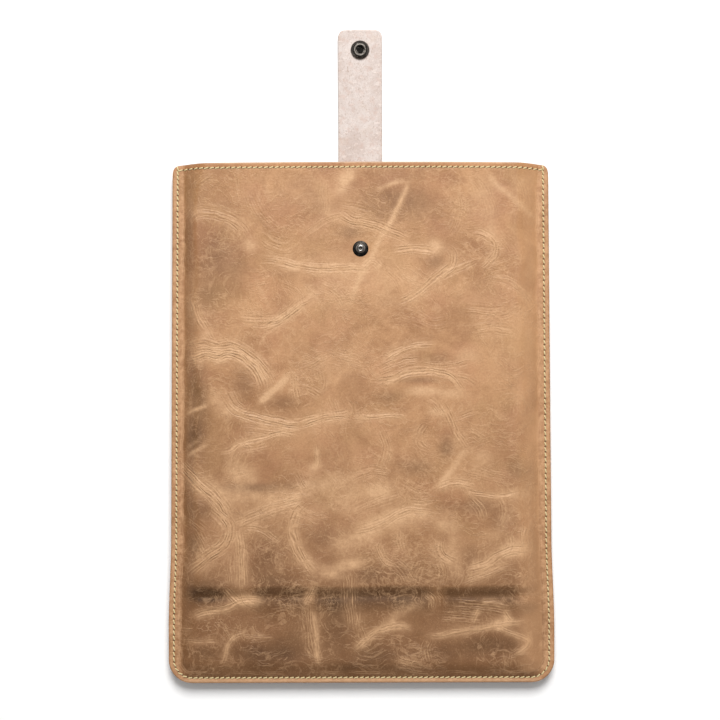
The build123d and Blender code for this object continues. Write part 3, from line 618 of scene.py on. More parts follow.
# ---------------------------------------------------------------------------------------------
# Node helpers
# ---------------------------------------------------------------------------------------------
class Nodes:
    def __init__(self, name):
        self.mat = bpy.data.materials.new(name)
        self.mat.use_nodes = True
        self.t = self.mat.node_tree
        self.t.nodes.clear()
        self.out = self.t.nodes.new("ShaderNodeOutputMaterial")
        self.bsdf = self.t.nodes.new("ShaderNodeBsdfPrincipled")
        self.t.links.new(self.bsdf.outputs[0], self.out.inputs[0])
        self.obj = self.t.nodes.new("ShaderNodeTexCoord").outputs["Object"]

    def link(self, a, b):
        if isinstance(a, (int, float)):
            b.default_value = a
        elif isinstance(a, tuple):
            b.default_value = a if len(a) == len(b.default_value) else (*a, 1.0)
        else:
            self.t.links.new(a, b)

    def attr(self, name, out="Vector"):
        n = self.t.nodes.new("ShaderNodeAttribute")
        n.attribute_name = name
        return n.outputs[out]

    def math(self, op, a, b=0.0, c=None, clamp=False):
        n = self.t.nodes.new("ShaderNodeMath")
        n.operation = op
        n.use_clamp = clamp
        self.link(a, n.inputs[0])
        self.link(b, n.inputs[1])
        if c is not None:
            self.link(c, n.inputs[2])
        return n.outputs[0]

    def vec(self, op, a, b=(0, 0, 0)):
        n = self.t.nodes.new("ShaderNodeVectorMath")
        n.operation = op
        self.link(a, n.inputs[0])
        self.link(b, n.inputs[1])
        return n.outputs[0]

    def split(self, v):
        n = self.t.nodes.new("ShaderNodeSeparateXYZ")
        self.link(v, n.inputs[0])
        return n.outputs

    def join(self, x, y, z):
        n = self.t.nodes.new("ShaderNodeCombineXYZ")
        for i, v in enumerate((x, y, z)):
            self.link(v, n.inputs[i])
        return n.outputs[0]

    def noise(self, vector, scale=1.0, detail=2.0, rough=0.5, distortion=0.0, out=0):
        n = self.t.nodes.new("ShaderNodeTexNoise")
        self.link(vector, n.inputs["Vector"])
        n.inputs["Scale"].default_value = scale
        n.inputs["Detail"].default_value = detail
        n.inputs["Roughness"].default_value = rough
        n.inputs["Distortion"].default_value = distortion
        return n.outputs[out]

    def voronoi(self, vector, scale, feature="F1", random=1.0):
        n = self.t.nodes.new("ShaderNodeTexVoronoi")
        n.feature = feature
        self.link(vector, n.inputs["Vector"])
        n.inputs["Scale"].default_value = scale
        n.inputs["Randomness"].default_value = random
        return n.outputs["Distance"]

    def range(self, v, a, b, c=0.0, d=1.0, kind="SMOOTHSTEP"):
        n = self.t.nodes.new("ShaderNodeMapRange")
        n.interpolation_type = kind
        self.link(v, n.inputs[0])
        for i, k in enumerate((a, b, c, d)):
            n.inputs[i + 1].default_value = k
        return n.outputs[0]

    def mix(self, f, a, b, blend="MIX"):
        n = self.t.nodes.new("ShaderNodeMix")
        n.data_type = "RGBA"
        n.blend_type = blend
        n.clamp_factor = True
        self.link(f, n.inputs[0])
        self.link(a, n.inputs[6])
        self.link(b, n.inputs[7])
        return n.outputs[2]

    def bump(self, height, distance, strength=1.0, normal=None):
        n = self.t.nodes.new("ShaderNodeBump")
        n.inputs["Strength"].default_value = strength
        n.inputs["Distance"].default_value = distance
        self.link(height, n.inputs["Height"])
        if normal is not None:
            self.link(normal, n.inputs["Normal"])
        return n.outputs[0]

    def finish(self, color, rough, normal=None, metallic=0.0, spec=0.4):
        self.link(color, self.bsdf.inputs["Base Color"])
        self.link(rough, self.bsdf.inputs["Roughness"])
        self.bsdf.inputs["Metallic"].default_value = metallic
        self.bsdf.inputs["Specular IOR Level"].default_value = spec
        if normal is not None:
            self.link(normal, self.bsdf.inputs["Normal"])
        return self.mat


def srgb(r, g, b):
    f = lambda c: (c / 255 / 12.92) if c <= 10 else ((c / 255 + 0.055) / 1.055) ** 2.4
    return f(r), f(g), f(b)


# How bright a white surface lying on the table comes out, so that a colour can be given as it is seen.
LIT = (1.50, 1.54, 1.58)


def seen(r, g, b):
    return tuple(c / k for c, k in zip(srgb(r, g, b), LIT))


# ---------------------------------------------------------------------------------------------
# Materials
# ---------------------------------------------------------------------------------------------
def grain_leather(name, creased=True):
    """Oily pull-up leather: mottled tan, light marks along its wrinkles, pores, worn edges, stitch holes, and painted
    shade and light where its slopes, folds and hollows turn from or to the lamp.
    """
    n = Nodes(name)
    p = n.obj
    seam = n.split(n.attr("seam"))
    s, d, mouth = seam[0], seam[1], seam[2]
    stray = n.math("ADD", d, n.math("MULTIPLY", n.math("SUBTRACT", n.noise(n.vec("ADD", p, (4.0, 6.0, 1.0)), 70, 3), 0.5), 5.0))
    inner = n.range(stray, 3.0, MARGIN + 2.0)
    foot = n.attr("foot", "Fac") if creased else 0.0
    inner = n.math("MAXIMUM", inner, n.math("MULTIPLY", foot, n.range(d, STITCH_IN + 0.3, STITCH_IN + 1.0)))
    wobble = n.noise(p, 34, 3, 0.6)
    # slow clouds of colour
    cloud = n.noise(p, 17, 4, 0.6, 0.6)
    cloud2 = n.noise(n.vec("ADD", p, (3.1, 1.7, 0.4)), 52, 4, 0.62, 1.0)
    tone = n.range(n.math("ADD", n.math("MULTIPLY", cloud, 0.55), n.math("MULTIPLY", cloud2, 0.45)), 0.36, 0.64)
    color = n.mix(tone, seen(181, 134, 95), seen(219, 173, 132))
    rosy = n.range(n.noise(n.vec("ADD", p, (0.0, 5.0, 2.0)), 34, 3), 0.45, 0.68)
    color = n.mix(n.math("MULTIPLY", rosy, 0.32), color, seen(206, 150, 117))
    ochre = n.range(n.noise(n.vec("ADD", p, (7.0, 0.0, 2.0)), 30, 3), 0.5, 0.70)
    color = n.mix(n.math("MULTIPLY", ochre, 0.32), color, seen(188, 148, 100))
    light_c = seen(238, 198, 160)
    height = n.math("MULTIPLY", cloud2, 0.12)
    breakup = n.range(n.noise(p, 170, 4, 0.65), 0.25, 0.75, 0.55, 1.35)
    if creased:
        # the lower end is darker, partly its own tone and partly painted shade, and the left side gets painted shade,
        # as its wall faces away from the light
        x, y, _ = n.split(p)
        low = n.range(y, plan(0, 395)[1] * MM, plan(0, 560)[1] * MM, 0.0, 1.0, "LINEAR")
        low2 = n.range(y, plan(0, 535)[1] * MM, plan(0, 592)[1] * MM)
        color = n.mix(n.math("MULTIPLY", n.math("MULTIPLY", low, 0.38), inner), color, seen(140, 100, 68))
        color = n.mix(n.math("MULTIPLY", n.math("MULTIPLY", low2, 0.50), inner), color, seen(128, 90, 58))
        left = n.range(x, plan(172, 0)[0] * MM, plan(232, 0)[0] * MM, 1.0, 0.0)
        color = n.mix(n.math("MULTIPLY", n.math("MULTIPLY", left, 0.36), inner), color, seen(140, 100, 66))
        # dark marks: darker tone, and painted shade in the hollow past the filled part and over the slope down to the
        # bottom seam
        dark_tone_and_shade = n.math("MULTIPLY", n.attr("dark", "Fac"), n.range(n.noise(p, 60, 2, 0.5), 0.3, 0.7, 0.92, 1.22))
        color = n.mix(n.math("MULTIPLY", dark_tone_and_shade, inner, clamp=True), color, seen(94, 65, 38))
        lt = n.attr("light", "Fac")
        color = n.mix(n.math("MULTIPLY", n.math("MULTIPLY", lt, breakup), 1.42, clamp=True), color, light_c)
        for i in range(LAYERS):
            v = n.split(n.attr(f"crease{i}"))
            wob = n.math("MULTIPLY", n.math("SUBTRACT", wobble, 0.5), 5.0)
            across = n.math("ADD", v[1], wob)
            turn = n.noise(n.join(n.math("MULTIPLY", v[0], 0.050), n.math("MULTIPLY", across, 0.16), 1.7 * i), 1.0, 2.0, 0.55)
            phase = n.math("ADD", n.math("MULTIPLY", across, 3.2), n.math("MULTIPLY", turn, 14.0))
            wave = n.math("SINE", phase)
            part = n.range(n.noise(n.join(n.math("MULTIPLY", v[0], 0.135), n.math("MULTIPLY", v[1], 0.46), 9.0 + i), 1.0, 1.5), 0.38, 0.60, 0.05, 1.0)
            # each wrinkle's crests are paler, as stretched leather and as painted highlight, and its troughs get
            # painted shade
            crest_pale_and_highlight = n.math("MULTIPLY", n.math("MULTIPLY", n.range(wave, 0.15, 0.95), v[2]), part)
            trough_painted_shade = n.math("MULTIPLY", n.math("MULTIPLY", n.range(wave, -0.25, -0.98), v[2]), part)
            color = n.mix(n.math("MULTIPLY", crest_pale_and_highlight, 0.60, clamp=True), color, light_c)
            color = n.mix(n.math("MULTIPLY", trough_painted_shade, 0.34, clamp=True), color, seen(140, 98, 64))
            height = n.math("ADD", height, n.math("MULTIPLY", n.math("MULTIPLY", wave, v[2]), n.math("MULTIPLY", part, 0.40)))
    if creased:
        nets = n.attr("net", "Fac")
    else:
        nets = 0.25
    # nets of small creases where the leather has been crushed
    bent = n.vec("ADD", p, n.vec("MULTIPLY", n.noise(p, 90, 2, out=1), (0.006, 0.006, 0.0)))
    cell = n.voronoi(bent, 330, "DISTANCE_TO_EDGE")
    cells = n.math("MULTIPLY", n.range(cell, 0.02, 0.16, 1.0, 0.0), n.range(n.noise(p, 230, 2), 0.42, 0.58))
    netted = n.math("MULTIPLY", cells, nets)
    color = n.mix(n.math("MULTIPLY", netted, 0.42), color, light_c)
    height = n.math("ADD", height, n.math("MULTIPLY", netted, 0.7))
    # faint veins over the whole hide, in two directions
    veins = []
    for k, (sx, sy, off, seed) in enumerate(((42.0, 190.0, 0.0, 1.0), (200.0, 48.0, 4.0, 3.0), (110.0, 110.0, 8.0, 6.0))):
        q = n.vec("ADD", p, n.vec("MULTIPLY", n.noise(n.vec("ADD", p, (off, 0.0, 0.0)), 40, 3, out=1), (0.030, 0.030, 0.0)))
        vein = n.math("ABSOLUTE", n.math("SUBTRACT", n.noise(n.vec("MULTIPLY", n.vec("ADD", q, (off, off, 0.0)), (sx, sy, 100.0)), 1.0, 3, 0.55), 0.5))
        patch = n.range(n.noise(n.vec("ADD", p, (seed, 9.0, 0.0)), 36, 3), 0.44, 0.60)
        fine = n.math("MULTIPLY", n.range(vein, 0.0, 0.040, 1.0, 0.0), patch)
        color = n.mix(n.math("MULTIPLY", fine, 0.30), color, light_c)
        veins.append(fine)
    height = n.math("ADD", height, n.math("MULTIPLY", n.math("ADD", veins[0], veins[1]), 0.35))
    # pores and grain
    pores = n.voronoi(p, 780, "SMOOTH_F1")
    grain = n.noise(p, 620, 4, 0.68)
    color = n.mix(n.math("MULTIPLY", n.range(grain, 0.32, 0.68), 0.34), color, n.mix(1.0, color, (0.62, 0.58, 0.54), "MULTIPLY"))
    fleck = n.range(n.noise(n.vec("ADD", p, (0.3, 0.1, 0.9)), 1050, 2, 0.6), 0.56, 0.72)
    color = n.mix(n.math("MULTIPLY", fleck, 0.24), color, light_c)
    height = n.math("ADD", height, n.math("MULTIPLY", n.range(pores, 0.0, 0.6), 0.12))
    height = n.math("ADD", height, n.math("MULTIPLY", grain, 0.14))
    # seam margin: burnished edge, painted shade on the bottom slope and in the fold, pressed lines, painted light under
    # the bottom stitches, holes and grooves with painted shade
    band = n.range(stray, MARGIN - 1.2, MARGIN + 0.7, 1.0, 0.0)
    band = n.math("MULTIPLY", band, n.math("SUBTRACT", 1.0, n.math("MULTIPLY", foot, n.range(d, STITCH_IN + 0.2, STITCH_IN + 0.9))))
    if creased:
        # painted shade over the slope down to the bottom seam, which faces away from the light
        slope = n.math("MULTIPLY", n.math("MULTIPLY", foot, n.range(d, STITCH_IN + 0.1, STITCH_IN + 0.8)), n.range(d, 7.0, 15.0, 1.0, 0.0))
        color = n.mix(n.math("MULTIPLY", slope, 0.22), color, seen(112, 82, 54))
    rub = n.range(n.noise(n.vec("ADD", p, (0.0, 2.0, 7.0)), 240, 4, 0.7), 0.35, 0.65)
    color = n.mix(n.math("MULTIPLY", n.math("MULTIPLY", band, rub), 0.66), color, seen(230, 187, 150))
    color = n.mix(n.math("MULTIPLY", n.math("MULTIPLY", band, n.math("SUBTRACT", 1.0, rub)), 0.30), color, seen(172, 128, 90))
    gaps = n.range(n.noise(n.vec("ADD", p, (6.0, 2.0, 5.0)), 60, 3), 0.42, 0.62)
    # painted shade at the foot of the side walls, where the margin folds up
    fold = n.math("MULTIPLY", n.range(stray, MARGIN - 0.4, MARGIN + 0.8), n.range(d, MARGIN + 1.5, MARGIN + 9.0, 1.0, 0.0))
    color = n.mix(n.math("MULTIPLY", n.math("MULTIPLY", fold, gaps), 0.26, clamp=True), color, seen(132, 92, 56))
    for at in (MARGIN - 1.3, MARGIN + 0.2):
        line = n.range(n.math("ABSOLUTE", n.math("SUBTRACT", stray, at)), 0.0, 0.7, 1.0, 0.0)
        color = n.mix(n.math("MULTIPLY", n.math("MULTIPLY", line, gaps), 0.34, clamp=True), color, light_c)
    # painted light on the strip below the bottom stitches
    hem_painted_light = n.range(n.split(p)[1], (Y_BOT + 2.0) * MM, (Y_BOT + 3.4) * MM, 1.0, 0.0)
    color = n.mix(n.math("MULTIPLY", hem_painted_light, 0.42), color, seen(238, 200, 168))
    if creased:
        # the right side lies flatter, and its wall gets painted light, as it turns towards the light
        right_wall_painted_light = n.math("MULTIPLY", n.range(n.split(p)[0], 0.108, 0.124), n.range(d, MARGIN - 0.5, MARGIN + 1.0))
        color = n.mix(n.math("MULTIPLY", right_wall_painted_light, 0.42), color, seen(232, 186, 146))
    rim = n.math("MAXIMUM", n.range(d, 0.2, 1.2, 1.0, 0.0), n.range(mouth, 0.1, 0.9, 1.0, 0.0))
    color = n.mix(n.math("MULTIPLY", rim, 0.30), color, seen(172, 118, 82))
    lip = n.math("MULTIPLY", n.range(mouth, 0.25, 0.9, 1.0, 0.0), n.range(d, 18.0, 40.0))
    color = n.mix(n.math("MULTIPLY", lip, 0.55), color, seen(248, 224, 204))
    strip = n.math("MULTIPLY", n.range(mouth, 0.8, 1.6), n.range(mouth, 2.6, 3.4, 1.0, 0.0))
    color = n.mix(n.math("MULTIPLY", strip, 0.30), color, seen(206, 142, 92))

    def holes(run, pitch, across, at, keep):
        k = n.math("DIVIDE", run, pitch)
        f = n.math("SUBTRACT", k, n.math("ROUND", k))
        along_ = n.math("MULTIPLY", f, pitch)
        off = n.math("SUBTRACT", across, at)
        # a slanted slit
        a = n.math("ADD", n.math("MULTIPLY", along_, 0.90), n.math("MULTIPLY", off, 0.43))
        b = n.math("SUBTRACT", n.math("MULTIPLY", off, 0.90), n.math("MULTIPLY", along_, 0.43))
        r = n.math("SQRT", n.math("ADD", n.math("MULTIPLY", n.math("MULTIPLY", a, a), 1.15), n.math("MULTIPLY", b, b)))
        return n.math("MULTIPLY", n.range(r, 0.35, 0.90, 1.0, 0.0), keep)
    side = holes(s, SEAM_PITCH, d, STITCH_IN, n.range(mouth, 1.0, 2.0, 0.0, 1.0))
    x = n.math("MULTIPLY", n.split(p)[0], 1000.0)
    there = n.range(d, 4.6, 5.4, 0.0, 1.0)
    if not creased:
        there = n.math("MULTIPLY", there, n.range(n.math("ABSOLUTE", x), STRAP_W / 2 + 0.5, STRAP_W / 2 + 1.0))
    top = holes(x, ROW_PITCH, mouth, STITCH_IN, there)
    hole = n.math("MAXIMUM", side, top)
    groove = n.math("MAXIMUM", n.range(n.math("ABSOLUTE", n.math("SUBTRACT", d, STITCH_IN)), 0.2, 1.5, 1.0, 0.0),
                    n.range(n.math("ABSOLUTE", n.math("SUBTRACT", mouth, STITCH_IN)), 0.2, 1.5, 1.0, 0.0))
    # painted shade along the stitch grooves
    color = n.mix(n.math("MULTIPLY", groove, 0.12), color, seen(150, 110, 68))
    # stitch holes: painted shade in each hole, and a dent in the bump
    color = n.mix(n.math("MULTIPLY", hole, 0.74), color, seen(70, 48, 27))
    height = n.math("SUBTRACT", height, n.math("MULTIPLY", hole, 1.1))
    color = n.mix(1.0, color, (1.02, 0.945, 0.83), "MULTIPLY")
    rough = n.range(n.math("ADD", n.math("MULTIPLY", grain, 0.5), n.math("MULTIPLY", cloud, 0.5)), 0.3, 0.7, 0.46, 0.66)
    return n.finish(color, rough, n.bump(height, 0.00032, 0.9), spec=0.35)


def flesh_leather(name, color_a, color_b, fibre=0.5, speckle=0.0):
    """Suede-like flesh side: pale, with short loose fibres."""
    n = Nodes(name)
    p = n.obj
    cloud = n.range(n.noise(p, 55, 4, 0.6), 0.3, 0.7)
    color = n.mix(cloud, color_a, color_b)
    fib = n.noise(n.vec("MULTIPLY", p, (1.0, 0.45, 1.0)), 900, 4, 0.65, 1.6)
    fib2 = n.noise(n.vec("MULTIPLY", n.vec("ADD", p, (2.0, 1.0, 3.0)), (0.5, 1.0, 1.0)), 520, 3, 0.6, 1.2)
    color = n.mix(n.math("MULTIPLY", n.range(fib, 0.50, 0.72), fibre), color, n.mix(1.0, color_a, (0.74, 0.68, 0.63), "MULTIPLY"))
    color = n.mix(n.math("MULTIPLY", n.range(fib2, 0.52, 0.70), fibre * 0.8), color, n.mix(1.0, color_b, (1.10, 1.08, 1.06), "MULTIPLY"))
    stain = n.range(n.noise(n.vec("ADD", p, (1.4, 4.0, 0.0)), 80, 2), 0.56, 0.72)
    color = n.mix(n.math("MULTIPLY", stain, 0.25), color, n.mix(1.0, color_a, (0.94, 0.84, 0.72), "MULTIPLY"))
    pink = n.range(n.noise(n.vec("ADD", p, (3.0, 8.0, 0.0)), 240, 3, 0.6), 0.5, 0.68)
    color = n.mix(n.math("MULTIPLY", pink, 0.30 * speckle), color, n.mix(1.0, color_a, (0.98, 0.84, 0.78), "MULTIPLY"))
    dots = n.range(n.noise(n.vec("ADD", p, (9.0, 1.0, 2.0)), 640, 3, 0.7), 0.58, 0.70)
    color = n.mix(n.math("MULTIPLY", dots, 0.42 * speckle), color, n.mix(1.0, color_a, (0.72, 0.62, 0.52), "MULTIPLY"))
    height = n.math("ADD", n.math("MULTIPLY", fib, 0.6), n.math("MULTIPLY", fib2, 0.4))
    return n.finish(color, 0.9, n.bump(height, 0.00022, 0.9), spec=0.15)


def edge_leather(name, color_a, color_b):
    """Cut edge: layered fibres along the cut, lightly burnished."""
    n = Nodes(name)
    p = n.obj
    layers = n.noise(n.vec("MULTIPLY", p, (90.0, 90.0, 1500.0)), 1.0, 3, 0.6, 0.5)
    color = n.mix(n.range(layers, 0.3, 0.7), color_a, color_b)
    dots = n.noise(p, 1500, 3, 0.6)
    color = n.mix(n.math("MULTIPLY", n.range(dots, 0.5, 0.7), 0.4), color, n.mix(1.0, color_a, (0.6, 0.55, 0.5), "MULTIPLY"))
    return n.finish(color, 0.62, n.bump(n.math("ADD", layers, dots), 0.00015, 0.8), spec=0.3)


def thread_material(name, color_a, color_b):
    """Waxed thread of twisted plies; 'ply' holds (run along the stitch, angle round it)."""
    n = Nodes(name)
    v = n.split(n.attr("ply"))
    twist = n.math("SINE", n.math("ADD", n.math("MULTIPLY", v[0], 6.2), n.math("MULTIPLY", v[1], 2.0)))
    fib = n.noise(n.join(n.math("MULTIPLY", v[0], 3.0), n.math("MULTIPLY", v[1], 3.0), v[2]), 3.0, 3, 0.6)
    color = n.mix(n.range(twist, -0.9, 0.4), color_b, color_a)
    color = n.mix(n.math("MULTIPLY", n.range(fib, 0.4, 0.7), 0.35), color, n.mix(1.0, color_b, (0.85, 0.8, 0.72), "MULTIPLY"))
    color = n.mix(n.math("MULTIPLY", n.range(n.noise(n.obj, 45, 2), 0.4, 0.7), 0.25), color, n.mix(1.0, color_a, (0.92, 0.82, 0.66), "MULTIPLY"))
    height = n.math("ADD", n.math("MULTIPLY", twist, 0.6), n.math("MULTIPLY", fib, 0.4))
    return n.finish(color, 0.55, n.bump(height, 0.00012, 0.9), spec=0.35)


def antique_metal(name, dark, bright, rough=(0.28, 0.5), inside=False, rubbed=False):
    """Blackened plating, rubbed bright on its high spots, with small scratches and specks; with inside, the floor of
    the bore gets painted shade.
    """
    n = Nodes(name)
    p = n.obj
    cloud = n.noise(p, 420, 4, 0.6)
    speck = n.noise(n.vec("ADD", p, (5.0, 1.0, 2.0)), 1500, 3, 0.7)
    scratch = n.noise(n.vec("MULTIPLY", p, (2600.0, 300.0, 1200.0)), 1.0, 2, 0.5, 0.6)
    color = n.mix(n.range(cloud, 0.35, 0.72), dark, bright)
    color = n.mix(n.math("MULTIPLY", n.range(speck, 0.56, 0.7), 0.55), color, n.mix(1.0, bright, (1.5, 1.4, 1.3), "MULTIPLY"))
    color = n.mix(n.math("MULTIPLY", n.range(scratch, 0.6, 0.72), 0.35), color, n.mix(1.0, bright, (1.9, 1.8, 1.7), "MULTIPLY"))
    geo = n.t.nodes.new("ShaderNodeNewGeometry").outputs["Pointiness"]
    color = n.mix(n.range(geo, 0.53, 0.60), color, n.mix(1.0, bright, (2.2, 2.1, 2.0), "MULTIPLY"))
    if inside:
        # the floor of the bore is painted nearly black, as shade
        q = n.split(n.vec("SUBTRACT", p, tuple(SNAP_AXIS)))
        off = n.math("SQRT", n.math("ADD", n.math("MULTIPLY", q[0], q[0]), n.math("MULTIPLY", q[1], q[1])))
        bore_painted_shade = n.math("MULTIPLY", n.range(off, 0.0031, 0.0037, 1.0, 0.0), n.range(q[2], -0.0002, 0.0004))
        color = n.mix(n.math("MULTIPLY", bore_painted_shade, 0.96), color, n.mix(cloud, (0.004, 0.004, 0.004), (0.010, 0.009, 0.008)))
    r = n.range(n.math("ADD", cloud, n.math("MULTIPLY", scratch, 0.5)), 0.5, 1.0, rough[0], rough[1])
    if rubbed:
        # the nub, which rubs in the socket, is bright, and the flange round it is dull
        q = n.split(n.vec("SUBTRACT", p, (STUD[0] * MM, STUD[1] * MM, 0.0)))
        off = n.math("SQRT", n.math("ADD", n.math("MULTIPLY", q[0], q[0]), n.math("MULTIPLY", q[1], q[1])))
        nub = n.range(off, 0.0026, 0.0036, 1.0, 0.0)
        color = n.mix(n.math("MULTIPLY", nub, 0.85), color, n.mix(cloud, (0.22, 0.205, 0.19), (0.42, 0.40, 0.375)))
        r = n.math("SUBTRACT", r, n.math("MULTIPLY", nub, 0.16))
    height = n.math("ADD", n.math("MULTIPLY", speck, 0.5), n.math("MULTIPLY", scratch, 0.5))
    return n.finish(color, r, n.bump(height, 0.00004, 0.5), metallic=1.0, spec=0.5)


GRAIN = grain_leather("panel_grain")
GRAIN_BACK = grain_leather("panel_grain_back", creased=False)
FLESH = flesh_leather("panel_flesh", seen(206, 178, 150), seen(222, 198, 174), 0.6)
EDGE = edge_leather("panel_edge", seen(196, 158, 126), seen(214, 182, 152))
STRAP_FLESH = flesh_leather("strap_flesh", seen(230, 214, 207), seen(249, 239, 235), 1.0, speckle=1.25)
STRAP_EDGE = edge_leather("strap_edge", seen(206, 180, 160), seen(224, 204, 188))
THREAD = thread_material("thread_cream", seen(255, 243, 196), seen(252, 228, 168))
METAL = antique_metal("snap_gunmetal", (0.010, 0.009, 0.008), (0.050, 0.044, 0.039), (0.36, 0.50), rubbed=True)
METAL_WORN = antique_metal("snap_gunmetal_worn", (0.026, 0.023, 0.021), (0.145, 0.134, 0.122), (0.28, 0.42))
METAL_DARK = antique_metal("snap_gunmetal_dark", (0.012, 0.011, 0.010), (0.038, 0.034, 0.030), (0.38, 0.55))
METAL_CAP = antique_metal("snap_gunmetal_cap", (0.020, 0.018, 0.017), (0.105, 0.094, 0.084), (0.26, 0.42), inside=True)
SPRING = antique_metal("spring_wire", (0.10, 0.095, 0.088), (0.26, 0.25, 0.235), (0.28, 0.45))

# ---------------------------------------------------------------------------------------------
# Panels
# ---------------------------------------------------------------------------------------------
col = spaced(-HALF_LOW, HALF_LOW, 0.55, 1.0, 24, 24)
row = spaced(Y_BOT, Y_MOUTH, 0.45, 1.0, 26, 12)
fields = {}


def front_outer(x, y, d):
    fields["layers"], fields["light"], fields["dark"], fields["net"], relief = crease_fields(x, y)
    calm = 1 - np.exp(-((np.hypot(x - STUD[0], y - STUD[1])) / 9.0) ** 2)
    return front_height(x, y, d) + relief * smooth(MARGIN, MARGIN + 5, d) * smooth(4, 8, Y_MOUTH - y) * calm


mesh, gx, gy, gd, two = shell_mesh("front_leather", col, row, front_outer, lambda d: 1.8 - 0.12 * smooth(9, 14, d), 1)
for i, layer in enumerate(fields["layers"]):
    add_vector(mesh, f"crease{i}", np.concatenate([layer, layer]))
add_float(mesh, "light", two(np.clip(fields["light"], 0, 1)))
add_float(mesh, "dark", two(np.clip(fields["dark"], 0, 1)))
add_float(mesh, "net", two(np.clip(fields["net"], 0, 1)))
from_side, from_end = np.maximum(side_line(gy) - np.abs(gx), 0.0), np.maximum(gy - Y_BOT, 0.0)
add_float(mesh, "foot", two(smooth(0.35, 0.75, from_side / (from_side + from_end + 1e-6)) * (1 - smooth(14, 18, gd))))
front = new_object("front_leather", mesh)
for m in (GRAIN, FLESH, EDGE):
    mesh.materials.append(m)
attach(front, "sleeve")
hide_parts("front_panel")

col = spaced(-HALF_LOW, HALF_LOW, 0.8, 2.4, 24, 24)
row = spaced(Y_BOT, Y_MOUTH, 0.6, 2.4, 26, 12)
mesh, gx, gy, gd, two = shell_mesh("back_leather", col, row, back_height,
                                   lambda d: 1.8 - 0.05 * smooth(9, 14, d), -1)
back = new_object("back_leather", mesh)
for m in (GRAIN_BACK, FLESH, EDGE):
    mesh.materials.append(m)
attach(back, "sleeve")
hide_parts("back_panel")


# ---------------------------------------------------------------------------------------------
# Stitches
# ---------------------------------------------------------------------------------------------
def stitch_mesh(name, stitches, length, radius, arch=0.30, rings=9, sides=10):
    """Stitches as short lengths of thread that rise from one hole and dive into the next.
    Each is (middle, direction, outward normal, turn about the normal in degrees)."""
    ts = np.linspace(-1, 1, rings)
    ang = np.linspace(0, 2 * math.pi, sides, endpoint=False)
    verts, faces, ply = [], [], []
    rng = np.random.default_rng(21)
    for k, (mid, direction, normal, turn) in enumerate(stitches):
        nrm = np.array(normal, float)
        nrm /= np.linalg.norm(nrm)
        t = np.array(direction, float)
        t -= nrm * (t @ nrm)
        t /= np.linalg.norm(t)
        b = np.cross(nrm, t)
        a = math.radians(turn + rng.normal(0, 2.0))
        t, b = t * math.cos(a) + b * math.sin(a), b * math.cos(a) - t * math.sin(a)
        L = length * (1 + rng.normal(0, 0.025))
        base = len(verts)
        lift = rng.normal(0, 0.03)
        for q in ts:
            r = radius * (1 - 0.35 * abs(q) ** 4)
            c = np.array(mid) + t * (q * L / 2) + nrm * (arch * (1 - abs(q) ** 3) - 0.42 * abs(q) ** 6 + lift)
            bulge = 1 + 0.10 * math.cos(q * 9 + k)
            for w in ang:
                verts.append(c + (b * math.cos(w) * 1.08 + nrm * math.sin(w) * 0.86) * r * bulge)
                ply.append((q * L / 2, w if w <= math.pi else w - 2 * math.pi, k * 1.7))
        for i in range(rings - 1):
            for j in range(sides):
                j2 = (j + 1) % sides
                faces.append((base + i * sides + j, base + i * sides + j2, base + (i + 1) * sides + j2, base + (i + 1) * sides + j))
        faces.append(tuple(base + j for j in range(sides))[::-1])
        faces.append(tuple(base + (rings - 1) * sides + j for j in range(sides)))
    mesh = bpy.data.meshes.new(name)
    mesh.from_pydata([tuple(v * MM) for v in np.array(verts)], [], faces)
    mesh.polygons.foreach_set("use_smooth", np.ones(len(mesh.polygons), bool))
    add_vector(mesh, "ply", ply)
    mesh.materials.append(THREAD)
    mesh.update()
    o = new_object(name, mesh)
    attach(o, "sleeve")
    return o


def surface_point(height, x, y):
    """Height and outward slope of a face at one place."""
    def z(a, b):
        a, b = np.array([a]), np.array([b])
        return float(height(a, b, np.maximum(edge_distance(a, b)[0], 0))[0])
    e = 0.4
    z0 = z(x, y)
    gx_, gy_ = (z(x + e, y) - z(x - e, y)) / (2 * e), (z(x, y + e) - z(x, y - e)) / (2 * e)
    return z0, np.array([-gx_, -gy_, 1.0])


def pulled(x, y):
    """Where a place near the mouth goes once its edge is drawn down."""
    d = max(float(edge_distance(np.array([x]), np.array([y]))[0][0]), 0)
    return y - float(droop(np.array([d]), np.array([y]))[0])


def seam_stitches(name, height, sign, node, turn):
    out = []
    for k in range(SEAM_N):
        s = (k + 0.5) * SEAM_PITCH
        x, y, tx, ty = seam_point(s)
        if y > Y_MOUTH - STITCH_IN * 0.5:
            continue
        z, nrm = surface_point(height, x, y)
        out.append(((x, pulled(x, y), z), (tx, ty, 0), nrm * sign if sign > 0 else -nrm, turn))
    o = stitch_mesh(name, out, SEAM_PITCH * 0.96, 0.46)
    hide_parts(node)
    return o


def mouth_stitches(name, height, sign, node, turn, skip=0.0, inner=0.0):
    out = []
    for k in range(ROW_N):
        x = (k + 0.5 - ROW_N / 2) * ROW_PITCH
        if abs(x) < skip or abs(x) > HALF_MOUTH - STITCH_IN - 1:
            continue
        y = Y_MOUTH - STITCH_IN
        if inner and abs(x) > HALF_MOUTH - 20:
            continue
        z, nrm = surface_point(height, x, y)
        up = nrm * sign
        t = np.array([1.0, 0.0, -nrm[0] * 0 + (-nrm[0])])
        mid = np.array([x, pulled(x, y), z])
        if inner:
            mid, up = mid - nrm / np.linalg.norm(nrm) * inner * sign, -up
        out.append((tuple(mid), (1.0, 0.0, 0.0), up, turn))
    o = stitch_mesh(name, out, ROW_PITCH * 0.96, 0.46, arch=0.30 if not inner else 0.22)
    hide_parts(node)
    return o


